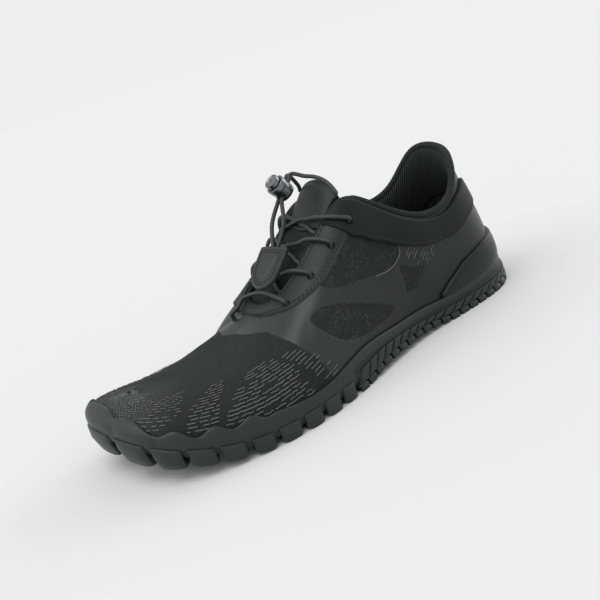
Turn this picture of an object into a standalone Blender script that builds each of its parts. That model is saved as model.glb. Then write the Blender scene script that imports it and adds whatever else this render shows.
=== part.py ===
"""Barefoot shoe for the left foot: knit upper on a last, cupped rubber outsole, elastic laces with a cord lock.

Metres, +Z up, +X towards the toe, +Y towards the outer (lateral) side of the foot.
The origin lies on the floor in the middle of the flat lug under the heel.
"""
import math

import bmesh
import bpy
import numpy as np
from mathutils import Matrix, Vector

# Driving sizes of the last and the shoe
LENGTH = 0.280            # feather line, heel to toe
BALL_WIDTH = 0.103        # across the ball
HEEL_WIDTH = 0.067        # across the heel
HEEL_HEIGHT = 0.095       # top of the flare behind the ankle
COLLAR_HEIGHT = 0.067     # lowest point of the collar, outer side
INSTEP_HEIGHT = 0.093     # corner of collar and throat
TOE_HEIGHT = 0.024        # toe box over the underside
TOE_SPRING = 0.021        # lift of the toe tip
HEEL_BEVEL = 0.003        # lift of the rear edge
ARCH_RISE = 0.003         # relief of the tread under the arch

# Walls, gaps and layers
GAP = 0.0003
PANEL_GAP = 0.0006
CUP_EASE = 0.0003
WALL = 0.0018
OVERLAY = 0.0013
BAND_THICKNESS = 0.0018
COUNTER_THICKNESS = 0.0022
TONGUE_THICKNESS = 0.0036
TONGUE_GAP = 0.0006
TONGUE_TUCK = 0.020       # how far the tongue reaches under the upper at its front
TONGUE_RISE = 0.0055      # how far its top stands over the instep
RAND_WALL = 0.0020
RAND_HEIGHT = 0.016
LOBE_HEIGHT = 0.0018
LUG_DEPTH = 0.0035
FEATHER_RISE = 0.008
INSOLE_THICKNESS = 0.003
INSOLE_CLEARANCE = 0.0008
INSOLE_BEVEL = 0.008
EYESTAY_WIDTH = 0.019
BAND_WIDTH = 0.018
PATCH_CLEARANCE = 0.0015

# Laces and their fittings
LACE_RADIUS = 0.00125
LACE_CLEARANCE = 0.0005
LACE_SPACING = 0.0031     # between the two ends inside the cord lock
EYELET_RADIUS = 0.0017
EYELET_INSET = 0.0120
PIN_LENGTH = 0.010
LOCK_RADIUS = 0.0062
LOCK_LENGTH = 0.0105
LOCK_FLOOR = 0.0060       # bottom of the recess for the button
LOCK_SLOT = 0.0032        # height of the slot for the laces
LOCK_SLOT_HEIGHT = 0.0032
LOCK_REACH = 0.0160       # how far the lock stands in front of the tongue
LOCK_RISE = 0.0035        # and over the point behind it
LOCK_TILT = 53.6          # degrees between the button's axis and the floor
LOCK_TRAVEL = 0.0022
LOCK_CHAMFER = 0.0007
BUTTON_RADIUS = 0.0046
BUTTON_LENGTH = 0.0052
TAB_WIDTH = 0.018
TAB_LENGTH = 0.027
TAB_THICKNESS = 0.0034
TAB_TURN = 20.0           # degrees that the tab's face is turned to the outer side

# Where the origin lies along the feather line
REST_X = 0.115 * LENGTH

# A row for each section, heel to toe. Places along the shoe are shares of LENGTH, places across it are
# shares of the width named in the row, heights are shares of the height named there, over the underside.
# dip and leans are in degrees; foot_pull and rim_pull are shares of the section's chord.
COLUMNS = ("lat_x", "lat_y", "med_x", "med_y", "rim_x", "rim_y", "gap", "lat_z", "med_z",
           "dip", "foot_pull", "rim_pull", "lat_lean", "med_lean", "rand")
SECTIONS = (
    (0.000, 0.000, 0.000, 0.000, 0.061, 0.000, 0.000, 1.000, 1.000, 85, .42, .30, -3, -3, 1.05,
     HEEL_WIDTH, HEEL_HEIGHT),
    (0.025, 0.285, 0.025, -.285, 0.082, 0.000, 0.255, 0.930, 0.985, 84, .42, .30, 0, 0, 1.03,
     HEEL_WIDTH, HEEL_HEIGHT),
    (0.093, 0.463, 0.093, -.463, 0.136, -.007, 0.418, 1.070, 1.130, 82, .42, .30, 4, 4, 1.05,
     HEEL_WIDTH, COLLAR_HEIGHT),
    (0.204, 0.500, 0.200, -.493, 0.221, -.015, 0.463, 0.990, 1.060, 78, .40, .30, 5, 5, 0.95,
     HEEL_WIDTH, COLLAR_HEIGHT),
    (0.318, 0.500, 0.307, -.425, 0.307, -.015, 0.425, 1.160, 1.190, 70, .40, .30, 3, 2, 1.05,
     HEEL_WIDTH, COLLAR_HEIGHT),
    (0.418, 0.369, 0.404, -.252, 0.382, -.019, 0.214, 1.000, 1.000, 55, .40, .30, 2, -2, 1.15,
     BALL_WIDTH, INSTEP_HEIGHT),
    (0.514, 0.432, 0.500, -.296, 0.443, -.029, 0.180, 0.935, 0.945, 42, .40, .32, 0, -3, 1.25,
     BALL_WIDTH, INSTEP_HEIGHT),
    (0.607, 0.490, 0.596, -.388, 0.521, -.039, 0.170, 0.755, 0.765, 30, .40, .32, 2, 0, 1.02,
     BALL_WIDTH, INSTEP_HEIGHT),
    (0.696, 0.505, 0.693, -.456, 0.607, -.049, 0.146, 0.580, 0.590, 20, .42, .34, 5, 4, 0.98,
     BALL_WIDTH, INSTEP_HEIGHT),
    (0.789, 0.466, 0.796, -.495, 0.679, -.063, 0.000, 1.810, 1.810, 0, .42, .40, 8, 7, 1.15,
     BALL_WIDTH, TOE_HEIGHT),
    (0.879, 0.383, 0.893, -.490, 0.761, -.087, 0.000, 1.550, 1.550, 0, .40, .42, 10, 9, 1.03,
     BALL_WIDTH, TOE_HEIGHT),
    (0.955, 0.189, 0.961, -.427, 0.839, -.126, 0.000, 1.350, 1.350, 0, .43, .44, 10, 10, 1.08,
     BALL_WIDTH, TOE_HEIGHT),
    (0.989, -.233, 0.989, -.233, 0.914, -.194, 0.000, 1.120, 1.120, 0, .52, .44, 12, 12, 1.35,
     BALL_WIDTH, TOE_HEIGHT),
)
LAST_STATION = len(SECTIONS) - 1
THROAT_END = 8.12         # station where the front end of the throat closes
THROAT_ROUND = {1: 7.20, -1: 7.75}    # where that end starts to close, lateral and medial
THROAT_POWER = 2.4        # how square the end is
RIDGE_BLEND = 8.0         # from here the sections lean into the ridge

# Collar band: station, top edge's distance from the rim in shares of HEEL_HEIGHT, width in shares of BAND_WIDTH
BAND_EDGES = (
    (0.0, .284, .89), (0.6, .232, .94), (1.2, .126, 1.0), (2.0, .047, .92), (3.0, .034, .85), (4.0, .034, 1.04),
    (4.8, .021, 1.33), (5.3, 0.0, 1.26), (5.87, 0.0, .50), (6.10, 0.0, .12))
# Eyestay: station, width in shares of EYESTAY_WIDTH
EYESTAY_WIDTHS = ((5.40, 1.10), (6.50, 1.10), (7.70, 0.95), (8.30, 0.75), (9.00, 0.55))
EYESTAY_START = 5.40
PATCH_END = 0.62
# Top of the heel counter: station, height in shares of HEEL_HEIGHT
COUNTER_TOPS = ((0.0, .368), (1.0, .363), (2.0, .353), (2.7, .316), (3.2, .242), (3.45, .189))

# Tongue: station, tuck under the upper in shares of TONGUE_TUCK, lift and forward shift of the middle in
# shares of TONGUE_RISE
TONGUE_ROWS = (
    (9.15, 0.95, 0.00, 0.00), (8.75, 1.00, 0.00, 0.00), (8.40, 0.80, 0.00, 0.00), (8.14, 0.65, 0.00, 0.00),
    (7.85, 0.58, 0.00, 0.00),
    (7.50, 0.55, 0.00, 0.00), (7.00, 0.50, 0.00, 0.00), (6.50, 0.45, 0.09, 0.00), (6.10, 0.40, 0.27, 0.09),
    (5.75, 0.35, 0.55, 0.27), (5.45, 0.27, 0.82, 0.45), (5.20, 0.20, 1.00, 0.55))
TUCK_SPOTS = (1.0, 0.6, 0.25)

LACE_SAG = 0.22           # stations that a lace's middle lies further forward than its ends
# Laces, from the front, lateral and medial: stations of the eyelets, where the lace crosses the rim on its
# way to them, and where a crossing's strand comes out from under the rim
EYELETS = {1: (7.63, 6.83, 6.03, 5.28), -1: (8.18, 6.80, 6.15, 5.50)}
RIM_CROSSINGS = {1: (7.86, 7.28, 6.58, 6.05), -1: (8.04, 7.20, 6.65, 6.10)}
STRAND_STARTS = {1: (7.66, 7.02, 6.36), -1: (7.50, 6.92, 6.36)}
# Way of a strand to the other rim and of the bar between the two front eyelets: share of the way between
# the stations, spot from +1 at the first rim to -1 at the other, extra lift in lace radii
STRAND = ((0.00, .80, 0.0), (0.25, .45, 0.1), (0.50, .00, 0.2), (0.78, -.45, 0.9), (0.95, -.80, 2.7))
BAR = ((0.10, .80, 3.2), (0.30, .45, 3.2), (0.50, .00, 3.2), (0.70, -.45, 3.2), (0.90, -.80, 3.2))
BAR_SAG = 0.07
# A lace's end over the tongue: station, spot from +1 at its own rim, extra lift in lace radii
END_OUTER = ((5.23, .88, 0.0), (5.22, .66, 0.2), (5.22, .36, 0.6), (5.24, .06, 1.6), (5.28, -.16, 3.4))
END_INNER = ((5.23, .84, 0.0), (5.25, .72, 0.8), (5.30, .60, 2.8))
# Over the tongue: station, spot and lift of the tab's top edge and of its foot
TAB_TOP = (7.20, 0.15, 0.0115)
TAB_FOOT = (7.90, 0.75, 0.0120)
END_BOW = 0.0026          # how far the two ends bow apart below the lock

# Tread: station at the start and end of each edge lug; rows of the field in shares of LENGTH
EDGE_LUGS = (
    (11.62, 12.38), (11.02, 11.50), (10.44, 10.92), (9.86, 10.34), (9.30, 9.76), (8.74, 9.18),
    (8.18, 8.64), (7.64, 8.08), (7.12, 7.54), (6.64, 7.02))
FIELD_ROWS = (0.235, 0.325, 0.415, 0.505, 0.595, 0.680, 0.762, 0.843)
FIELD_MARGIN = 0.0155
FIELD_PITCH = 0.0175
FIELD_LUG = 0.0145
FIELD_GROOVE = 0.003
HEEL_LUG = 0.0182
LUG_REACH = 0.013
LUG_EDGE = 0.0042
RIB_REACH = 0.009
RIB_PITCH = 0.0080
RIB_SLOT = 0.0012
RIB_RISE = 0.0010
RIB_LOW = 0.0085          # height of the ribs at the heel
RIB_ARCH = 0.0045         # extra height under the arch
RIB_LAST = 6.55

UP = Vector((0.0, 0.0, 1.0))


# Small numeric tools

def natural_spline(knots, values):
    """A reader of the natural cubic spline through rows of values, one row a unit apart for each knot."""
    values = np.asarray(values, float)
    size = len(knots)
    system = np.eye(size)
    right = np.zeros(values.shape)
    for i in range(1, size - 1):
        system[i, i - 1:i + 2] = (1, 4, 1)
        right[i] = 6 * (values[i + 1] - 2 * values[i] + values[i - 1])
    bend = np.linalg.solve(system, right)

    def read(place):
        i = int(np.clip(math.floor(place - knots[0]), 0, size - 2))
        b = place - knots[0] - i
        a = 1 - b
        curve = ((a ** 3 - a) * bend[i] + (b ** 3 - b) * bend[i + 1]) / 6
        return a * values[i] + b * values[i + 1] + curve

    return read


def section_values():
    """The section table in metres, with the rim heights over the underside."""
    rows = []
    for row in SECTIONS:
        width, height = row[-2:]
        scales = (LENGTH, width, LENGTH, width, LENGTH, width, width, height, height, 1, 1, 1, 1, 1, RAND_HEIGHT)
        rows.append({name: value * scale for name, value, scale in zip(COLUMNS, row, scales)})
    return rows


ROWS = section_values()
OVERRUN = 3


def foot_spline():
    """Feather line, lean and rand height round the whole ring, past both its ends."""
    knots = list(range(-LAST_STATION - OVERRUN, LAST_STATION + OVERRUN + 1))
    values = []
    for knot in knots:
        station, side = ring(knot)
        row = ROWS[station]
        end = "lat" if side > 0 else "med"
        values.append([row[end + "_x"], row[end + "_y"], row[end + "_lean"], row["rand"]])
    return natural_spline(knots, values)


def rim_spline(side):
    """Rim or ridge of one side, run on past the heel into the other side."""
    knots = list(range(-OVERRUN, LAST_STATION + 1))
    values = []
    for knot in knots:
        row = ROWS[abs(knot)]
        here = side if knot >= 0 else -side
        height = row["lat_z"] if here > 0 else row["med_z"]
        values.append([row["rim_x"], row["rim_y"], here * row["gap"], height, row["dip"], row["foot_pull"],
                       row["rim_pull"]])
    return natural_spline(knots, values)


def ring(place):
    """Station and side of a place round the ring: 0 at the heel, +12 or -12 at the toe."""
    if place > LAST_STATION:
        place -= 2 * LAST_STATION
    if place < -LAST_STATION:
        place += 2 * LAST_STATION
    return abs(place), (1 if place >= 0 else -1)


FOOT = foot_spline()
RIM = {side: rim_spline(side) for side in (1, -1)}


def foot_values(place):
    """Feather line in plan, lean and rand height at a place round the ring."""
    return [float(value) for value in FOOT(place)]


def rim_values(station, side):
    """Rim in plan and over the underside, its dip and the pulls of the section's curve."""
    x, y, offset, height, dip, foot_pull, rim_pull = (float(value) for value in RIM[side](station))
    start = THROAT_ROUND[side]
    if station > start:
        run = min(1.0, (station - start) / (THROAT_END - start))
        offset = float(RIM[side](start)[2]) * (1.0 - run ** THROAT_POWER) ** (1.0 / THROAT_POWER)
        other = float(RIM[-side](station)[3])
        height += ((height + other) / 2 - height) * run
    return x, y + offset, height, dip, foot_pull, rim_pull


def underside(x):
    """Height of the sole's lowest surface, without the arch: toe spring and bevelled heel."""
    start = 0.743 * LENGTH
    toe = min(max((x - start) / (LENGTH - start), 0.0), 1.2)
    heel = max(1.0 - x / (0.08 * LENGTH), 0.0)
    return TOE_SPRING * toe ** 1.8 + HEEL_BEVEL * heel ** 2


def tread(x):
    """Height of the tread's underside, with the relief under the arch."""
    share = (x / LENGTH - 0.39) / 0.15
    return underside(x) + ARCH_RISE * max(0.0, 1.0 - share ** 4) ** 2


# The last: the upper's outer face

COLUMN_CACHE = {}
SAMPLES = 40


def rim_point(station, side):
    """Point of the rim, or of the ridge where the throat is closed."""
    x, y, height = rim_values(station, side)[:3]
    return Vector((x, y, underside(x) + height))


def feather_point(place):
    """Point of the feather line, where upper and sole meet."""
    x, y = foot_values(place)[:2]
    return Vector((x, y, underside(x) + FEATHER_RISE))


def column(station, side):
    """Outer face from feather line to rim, as even samples by arc length, and its whole length."""
    key = (round(station, 5), side)
    if key in COLUMN_CACHE:
        return COLUMN_CACHE[key]
    foot = feather_point(side * station)
    rim = rim_point(station, side)
    out = Vector((foot.x - rim.x, foot.y - rim.y, 0.0)).normalized()
    chord = (foot - rim).length
    lean = math.radians(foot_values(side * station)[2])
    dip, foot_pull, rim_pull = rim_values(station, side)[3:]
    near = min(station + 0.02, LAST_STATION)
    ahead = rim_point(near, side)
    behind = rim_point(near - 0.04, side)
    slope = (ahead.z - behind.z) / (ahead.x - behind.x)
    blend = min(max(station - RIDGE_BLEND, 0.0), 1.0)
    dip = math.radians(dip) * (1 - blend) + math.atan(-slope * out.x) * blend
    low = foot + chord * foot_pull * (UP * math.cos(lean) + out * math.sin(lean))
    high = rim + chord * rim_pull * (out * math.cos(dip) - UP * math.sin(dip))
    t = np.linspace(0, 1, SAMPLES + 1)[:, None]
    points = (np.array(foot) * (1 - t) ** 3 + 3 * np.array(low) * t * (1 - t) ** 2
              + 3 * np.array(high) * t * t * (1 - t) + np.array(rim) * t ** 3)
    run = np.concatenate(([0.0], np.cumsum(np.linalg.norm(np.diff(points, axis=0), axis=1))))
    even = np.linspace(0, run[-1], SAMPLES + 1)
    points = np.stack([np.interp(even, run, points[:, k]) for k in range(3)], axis=1)
    COLUMN_CACHE[key] = (points, run[-1])
    return COLUMN_CACHE[key]


def on_column(place, share):
    """Point of the outer face at a share of the way from feather line to rim."""
    points, _ = column(*ring(place))
    spot = min(max(share, 0.0), 1.0) * SAMPLES
    i = min(int(spot), SAMPLES - 1)
    return Vector(points[i] * (i + 1 - spot) + points[i + 1] * (spot - i))


def normal_at(place, share):
    """Outward normal of the outer face."""
    step = 0.03
    lower = max(share - 0.02, 0.0)
    upper = min(share + 0.02, 1.0)
    along = on_column(place + step, share) - on_column(place - step, share)
    rise = on_column(place, upper) - on_column(place, lower)
    return rise.cross(along).normalized()


def closed(station):
    return station >= THROAT_END


def skin(place, share, lift=0.0):
    """Point on the outer face, lifted along its normal."""
    station, _ = ring(place)
    point = on_column(place, share)
    if lift == 0.0:
        return point
    if closed(station) and share > 0.985:
        normal = (normal_at(place, 0.97) + normal_at(-place, 0.97)).normalized()
    else:
        normal = normal_at(place, share)
    return point + normal * lift


def from_rim(place, distance):
    """Share of the way up, for a distance from the rim along the outer face."""
    _, length = column(*ring(place))
    return 1.0 - distance / length


def share_at_height(place, height):
    """Share of the way up where the outer face reaches a height."""
    points, _ = column(*ring(place))
    heights = np.maximum.accumulate(points[:, 2])
    return float(np.interp(height, heights, np.linspace(0, 1, SAMPLES + 1)))


def plan_offset(place, offset, height):
    """Feather line moved outwards in plan by an offset, at a height."""
    point = on_column(place, 0.0)
    normal = normal_at(place, 0.0)
    normal.z = 0.0
    point = point + normal.normalized() * offset
    return Vector((point.x, point.y, height))


# Objects and materials

def material(name, colour, roughness, metallic=0.0):
    finish = bpy.data.materials.new(name)
    finish.use_nodes = True
    shader = finish.node_tree.nodes["Principled BSDF"]
    shader.inputs["Base Color"].default_value = (*colour, 1.0)
    shader.inputs["Roughness"].default_value = roughness
    shader.inputs["Metallic"].default_value = metallic
    return finish


def add_object(name, bm, finish, home, merge=0.00002):
    """A named object from a bmesh, moved so that the origin is under the heel."""
    bmesh.ops.remove_doubles(bm, verts=bm.verts, dist=merge)
    mesh = bpy.data.meshes.new(name)
    bm.to_mesh(mesh)
    bm.free()
    mesh.materials.append(finish)
    piece = bpy.data.objects.new(name, mesh)
    home.objects.link(piece)
    return piece


def shift_home(home):
    """Move every piece so that the origin is the resting spot under the heel."""
    for piece in home.objects:
        if piece.location.length > 0.0:
            piece.location.x -= REST_X
        else:
            piece.data.transform(Matrix.Translation((-REST_X, 0.0, 0.0)))


def solidify(piece, thickness, offset):
    modifier = piece.modifiers.new("Wall", "SOLIDIFY")
    modifier.thickness = thickness
    modifier.offset = offset
    modifier.use_even_offset = False
    return modifier


def apply_modifiers(piece):
    graph = bpy.context.evaluated_depsgraph_get()
    mesh = bpy.data.meshes.new_from_object(piece.evaluated_get(graph))
    piece.modifiers.clear()
    piece.data = mesh


def boolean(piece, cutter, operation, crossing=False):
    modifier = piece.modifiers.new("Cut", "BOOLEAN")
    modifier.operation = operation
    modifier.solver = "EXACT"
    modifier.use_self = crossing
    modifier.object = cutter
    cutter.hide_render = True
    cutter.display_type = "WIRE"


def loft(bm, rows, loop=False):
    """Quads between neighbouring rows of points; loop closes each row."""
    grid = [[bm.verts.new(point) for point in row] for row in rows]
    for lower, upper in zip(grid, grid[1:]):
        count = len(lower)
        for i in range(count if loop else count - 1):
            j = (i + 1) % count
            bm.faces.new((lower[i], lower[j], upper[j], upper[i]))
    return grid


def fine_stations(first, last, step, marks=()):
    """Even stations between two ends, with the marked ones put in."""
    count = max(1, round((last - first) / step))
    places = [first + (last - first) * i / count for i in range(count + 1)]
    for mark in marks:
        if first < mark < last:
            nearest = min(range(len(places)), key=lambda i: abs(places[i] - mark))
            places[nearest] = mark
    return places


def smooth(points, count):
    """Evenly spaced points on the smooth curve through a few points."""
    rows = np.array(points)
    steps = np.linalg.norm(np.diff(rows, axis=0), axis=1)
    knots = np.concatenate(([0.0], np.cumsum(np.sqrt(steps))))
    slopes = np.gradient(rows, knots, axis=0)
    t = np.linspace(0.0, knots[-1], 12 * len(rows))
    i = np.clip(np.searchsorted(knots, t, side="right") - 1, 0, len(rows) - 2)
    span = (knots[i + 1] - knots[i])[:, None]
    u = (t - knots[i])[:, None] / span
    dense = (rows[i] * (1 + 2 * u) * (1 - u) ** 2 + slopes[i] * span * u * (1 - u) ** 2
             + rows[i + 1] * u * u * (3 - 2 * u) + slopes[i + 1] * span * u * u * (u - 1))
    run = np.concatenate(([0.0], np.cumsum(np.linalg.norm(np.diff(dense, axis=0), axis=1))))
    even = np.linspace(0.0, run[-1], count)
    return [Vector([float(np.interp(spot, run, dense[:, k])) for k in range(3)]) for spot in even]


def upper_stations():
    """Stations of the upper's columns, closer together round the front end of the throat."""
    start = THROAT_ROUND[1]
    rear = fine_stations(0.0, start, 0.333)
    bend = [start + (THROAT_END - start) * share for share in (.33, .60, .76, .87, .95, 1.0)]
    front = fine_stations(THROAT_END, LAST_STATION, 0.34)
    return rear + bend + front[1:]


# Upper

def build_upper(home, finish, cutter):
    """Hollow wall over the last: open at collar and throat, and underneath where the sole closes it."""
    bm = bmesh.new()
    stations = upper_stations()
    shares = [0.0, 0.10, 0.22, 0.36, 0.50, 0.64, 0.77, 0.89, 1.0]
    for side in (1, -1):
        rows = [[skin(side * station, share) for share in shares] for station in stations]
        if side < 0:
            rows.reverse()
        loft(bm, rows)
    piece = add_object("upper", bm, finish, home)
    face_outwards(piece)
    solidify(piece, WALL, -1.0)
    apply_modifiers(piece)
    boolean(piece, cutter, "DIFFERENCE")
    return piece


def face_outwards(piece):
    """Turn an open sheet so that its faces look away from the foot."""
    bm = bmesh.new()
    bm.from_mesh(piece.data)
    bmesh.ops.recalc_face_normals(bm, faces=bm.faces)
    centre = Vector((0.5 * LENGTH, 0.0, 0.3 * INSTEP_HEIGHT))
    total = sum(face.normal.dot(face.calc_center_median() - centre) * face.calc_area() for face in bm.faces)
    if total < 0:
        bmesh.ops.reverse_faces(bm, faces=bm.faces)
    bm.to_mesh(piece.data)
    bm.free()


# Outsole

def rand_reach(place):
    """Share of the way up the outer face where the rand ends, with the lobes of the forefoot."""
    station, _ = ring(place)
    reach = foot_values(place)[3] - FEATHER_RISE
    fade = min(max((station - 8.5) / 0.4, 0.0), 1.0) * min(max((11.75 - station) / 0.3, 0.0), 1.0)
    reach += LOBE_HEIGHT * fade * math.cos(2 * math.pi * (station - 9.05) / 0.70)
    _, length = column(*ring(place))
    return reach / length


def sole_profile(place):
    """Points round the sole's side: under the edge, up the outside, over the rand and down inside the cup."""
    base = underside(on_column(place, 0.0).x)
    reach = rand_reach(place)
    deck = base + FEATHER_RISE - GAP
    return [
        plan_offset(place, 0.2 * RAND_WALL, base + LUG_DEPTH),
        plan_offset(place, RAND_WALL, base + LUG_DEPTH + 0.6 * RAND_WALL),
        plan_offset(place, GAP + 1.15 * RAND_WALL, base + FEATHER_RISE),
        skin(place, 0.50 * reach, GAP + RAND_WALL),
        skin(place, 0.90 * reach, GAP + 0.9 * RAND_WALL),
        skin(place, reach, GAP + 0.45 * RAND_WALL),
        skin(place, reach, GAP),
        skin(place, 0.70 * reach, GAP + CUP_EASE),
        skin(place, 0.40 * reach, GAP + CUP_EASE),
        skin(place, 0.12 * reach, GAP + CUP_EASE),
        plan_offset(place, GAP + CUP_EASE, deck)]


def build_outsole(home, finish, lugs):
    """Cupped rubber sole: base, rand with lobes and, joined on, the lugs and side ribs."""
    bm = bmesh.new()
    stations = fine_stations(0.0, 8.5, 0.34) + fine_stations(8.5, 12.0, 0.175)[1:]
    lateral = [sole_profile(station) for station in stations]
    medial = [sole_profile(-station) for station in stations]
    loft(bm, lateral)
    loft(bm, medial[::-1])
    for level in (0, -1):
        under = [lateral[i][level] for i in range(len(stations))]
        other = [medial[i][level] for i in range(len(stations))]
        middle = [(a + b) / 2 for a, b in zip(under, other)]
        loft(bm, [under, middle, other])
    bmesh.ops.remove_doubles(bm, verts=bm.verts, dist=0.00002)
    bmesh.ops.dissolve_degenerate(bm, edges=bm.edges, dist=0.00001)
    bmesh.ops.recalc_face_normals(bm, faces=bm.faces)
    piece = add_object("outsole", bm, finish, home)
    boolean(piece, lugs, "UNION", crossing=True)
    return piece


def block(bm, ring_low, ring_high):
    """A closed block between a lower and an upper outline of like points."""
    low = [bm.verts.new(point) for point in ring_low]
    high = [bm.verts.new(point) for point in ring_high]
    bm.faces.new(low[::-1])
    bm.faces.new(high)
    count = len(low)
    for i in range(count):
        j = (i + 1) % count
        bm.faces.new((low[i], low[j], high[j], high[i]))


def edge_section(place, depth, bulge, height):
    """Outline of a lug or rib, cut across the sole's edge."""
    base = underside(on_column(place, 0.0).x)
    inner = plan_offset(place, -depth, 0.0)
    outer = plan_offset(place, bulge, 0.0)
    share = share_at_height(place, base + height)
    return [
        Vector((inner.x, inner.y, tread(inner.x))),
        Vector((outer.x, outer.y, tread(outer.x))),
        skin(place, share, GAP + RAND_WALL + RIB_RISE),
        skin(place, share, GAP + 0.5 * RAND_WALL),
        plan_offset(place, 0.6 * RAND_WALL, base + 0.69 * FEATHER_RISE),
        Vector((inner.x, inner.y, underside(inner.x) + 1.17 * LUG_DEPTH))]


def edge_block(bm, start, end, depth, bulge, height):
    """A lug or rib on the sole's edge between two places of the ring."""
    steps = 4 if abs(end - start) > 0.3 else 2
    places = [start + (end - start) * i / (steps - 1) for i in range(steps)]
    grid = loft(bm, [edge_section(place, depth, bulge, height(place)) for place in places], loop=True)
    bm.faces.new(grid[0])
    bm.faces.new(grid[-1][::-1])


def rib_places(side):
    """Places of the side ribs, one pitch apart along the feather line."""
    stations = np.linspace(0.0, RIB_LAST, 200)
    points = np.array([feather_point(side * s)[:2] for s in stations])
    run = np.concatenate(([0.0], np.cumsum(np.linalg.norm(np.diff(points, axis=0), axis=1))))
    count = round(run[-1] / RIB_PITCH)
    pitch = run[-1] / count
    places = []
    for i in range(count):
        start = np.interp(i * pitch + RIB_SLOT / 2, run, stations)
        end = np.interp((i + 1) * pitch - RIB_SLOT / 2, run, stations)
        places.append((float(start), float(end)))
    return places


def rib_height(place):
    """Side ribs are tallest under the arch and lowest at the heel."""
    station, _ = ring(place)
    return RIB_LOW + RIB_ARCH * math.exp(-((station - 5.6) / 1.3) ** 2)


def lug_height(place):
    """Edge lugs of the forefoot end a little over the feather line's deck."""
    return 1.12 * FEATHER_RISE


def field_lug(bm, centre_x, centre_y, length, width):
    """A six-sided lug of the tread field."""
    outline = [(-0.5, 0.0), (-0.25, -0.5), (0.25, -0.5), (0.5, 0.0), (0.25, 0.5), (-0.25, 0.5)]
    low = []
    high = []
    for u, v in outline:
        x = centre_x + u * length
        y = centre_y + v * width
        low.append(Vector((x, y, tread(x))))
        x = centre_x + 1.12 * u * length
        y = centre_y + 1.12 * v * width
        high.append(Vector((x, y, underside(x) + 1.28 * LUG_DEPTH)))
    block(bm, low, high)


def build_lugs(cutters):
    """All tread blocks in one mesh, to be joined to the sole."""
    bm = bmesh.new()
    for start, end in EDGE_LUGS:
        edge_block(bm, start, end, LUG_REACH, LUG_EDGE, lug_height)
        if end < LAST_STATION:
            edge_block(bm, -end, -start, LUG_REACH, LUG_EDGE, lug_height)
    for side in (1, -1):
        for start, end in rib_places(side):
            ends = (start, end) if side > 0 else (-end, -start)
            edge_block(bm, *ends, RIB_REACH, LUG_EDGE, rib_height)
    for centre_x, centre_y, length, width in tread_field():
        field_lug(bm, centre_x, centre_y, length, width)
    bmesh.ops.recalc_face_normals(bm, faces=bm.faces)
    mesh = bpy.data.meshes.new("tread_blocks")
    bm.to_mesh(mesh)
    bm.free()
    cutter = bpy.data.objects.new("tread_blocks", mesh)
    cutters.objects.link(cutter)
    return cutter


def tread_field():
    """Centres and sizes of the lugs inside the edge blocks."""
    lugs = [(REST_X, 0.0, HEEL_LUG, HEEL_LUG)]
    for share_x in FIELD_ROWS:
        x = share_x * LENGTH
        edges = []
        for side, name in ((1, "lat_x"), (-1, "med_x")):
            station = float(np.interp(x, [row[name] for row in ROWS], range(len(ROWS))))
            edges.append(feather_point(side * station).y - side * FIELD_MARGIN)
        room = edges[0] - edges[1]
        count = max(1, int(room / FIELD_PITCH))
        pitch = room / count
        for i in range(count):
            y = edges[1] + (i + 0.5) * pitch
            lugs.append((x, y, FIELD_LUG, min(FIELD_LUG, pitch - FIELD_GROOVE)))
    return lugs


# Insole

def build_insole(home, finish):
    """Thin footbed on the deck of the sole, turned up a little at its edge."""
    bm = bmesh.new()
    stations = fine_stations(0.0, 12.0, 0.3)
    levels = ((WALL + INSOLE_CLEARANCE, GAP), (WALL + INSOLE_CLEARANCE, INSOLE_THICKNESS),
              (WALL + INSOLE_BEVEL, 0.85 * INSOLE_THICKNESS))
    sides = []
    for side in (1, -1):
        rows = []
        for station in stations:
            row = []
            for inset, height in levels:
                spot = plan_offset(side * station, -inset, 0.0)
                spot.z = underside(spot.x) + FEATHER_RISE + height
                row.append(spot)
            rows.append(row)
        sides.append(rows)
    loft(bm, sides[0])
    loft(bm, sides[1][::-1])
    for level in (0, -1):
        near = [row[level] for row in sides[0]]
        far = [row[level] for row in sides[1]]
        loft(bm, [near, far])
    bmesh.ops.remove_doubles(bm, verts=bm.verts, dist=0.00002)
    bmesh.ops.recalc_face_normals(bm, faces=bm.faces)
    return add_object("insole", bm, finish, home)


# Tongue

def tongue_values(station):
    """Tuck under the upper, lift and forward shift of the tongue's middle at a station."""
    rows = sorted(TONGUE_ROWS)
    knots = [row[0] for row in rows]
    scales = (TONGUE_TUCK, TONGUE_RISE, TONGUE_RISE)
    return [scale * float(np.interp(station, knots, [row[i + 1] for row in rows])) for i, scale in enumerate(scales)]


def crown(station, spot):
    """Outer face of the tongue between the rims; spot runs from -1, medial rim, to +1, lateral rim."""
    _, lift, forward = tongue_values(station)
    drop = -(WALL + TONGUE_GAP)
    ends = []
    for side in (1, -1):
        edge = skin(side * station, 1.0, drop)
        inner = skin(side * station, 0.98, drop)
        ends.append((edge, (edge - inner).normalized()))
    (lateral, lateral_way), (medial, medial_way) = ends
    span = (lateral - medial).length
    t = (spot + 1) / 2
    h00 = 2 * t ** 3 - 3 * t ** 2 + 1
    h10 = t ** 3 - 2 * t ** 2 + t
    h01 = 3 * t ** 2 - 2 * t ** 3
    h11 = t ** 3 - t ** 2
    point = medial * h00 + medial_way * span * h10 + lateral * h01 - lateral_way * span * h11
    dome = math.sqrt(max(0.0, 1 - spot * spot))
    return point + Vector((forward, 0.0, lift)) * dome


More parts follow.
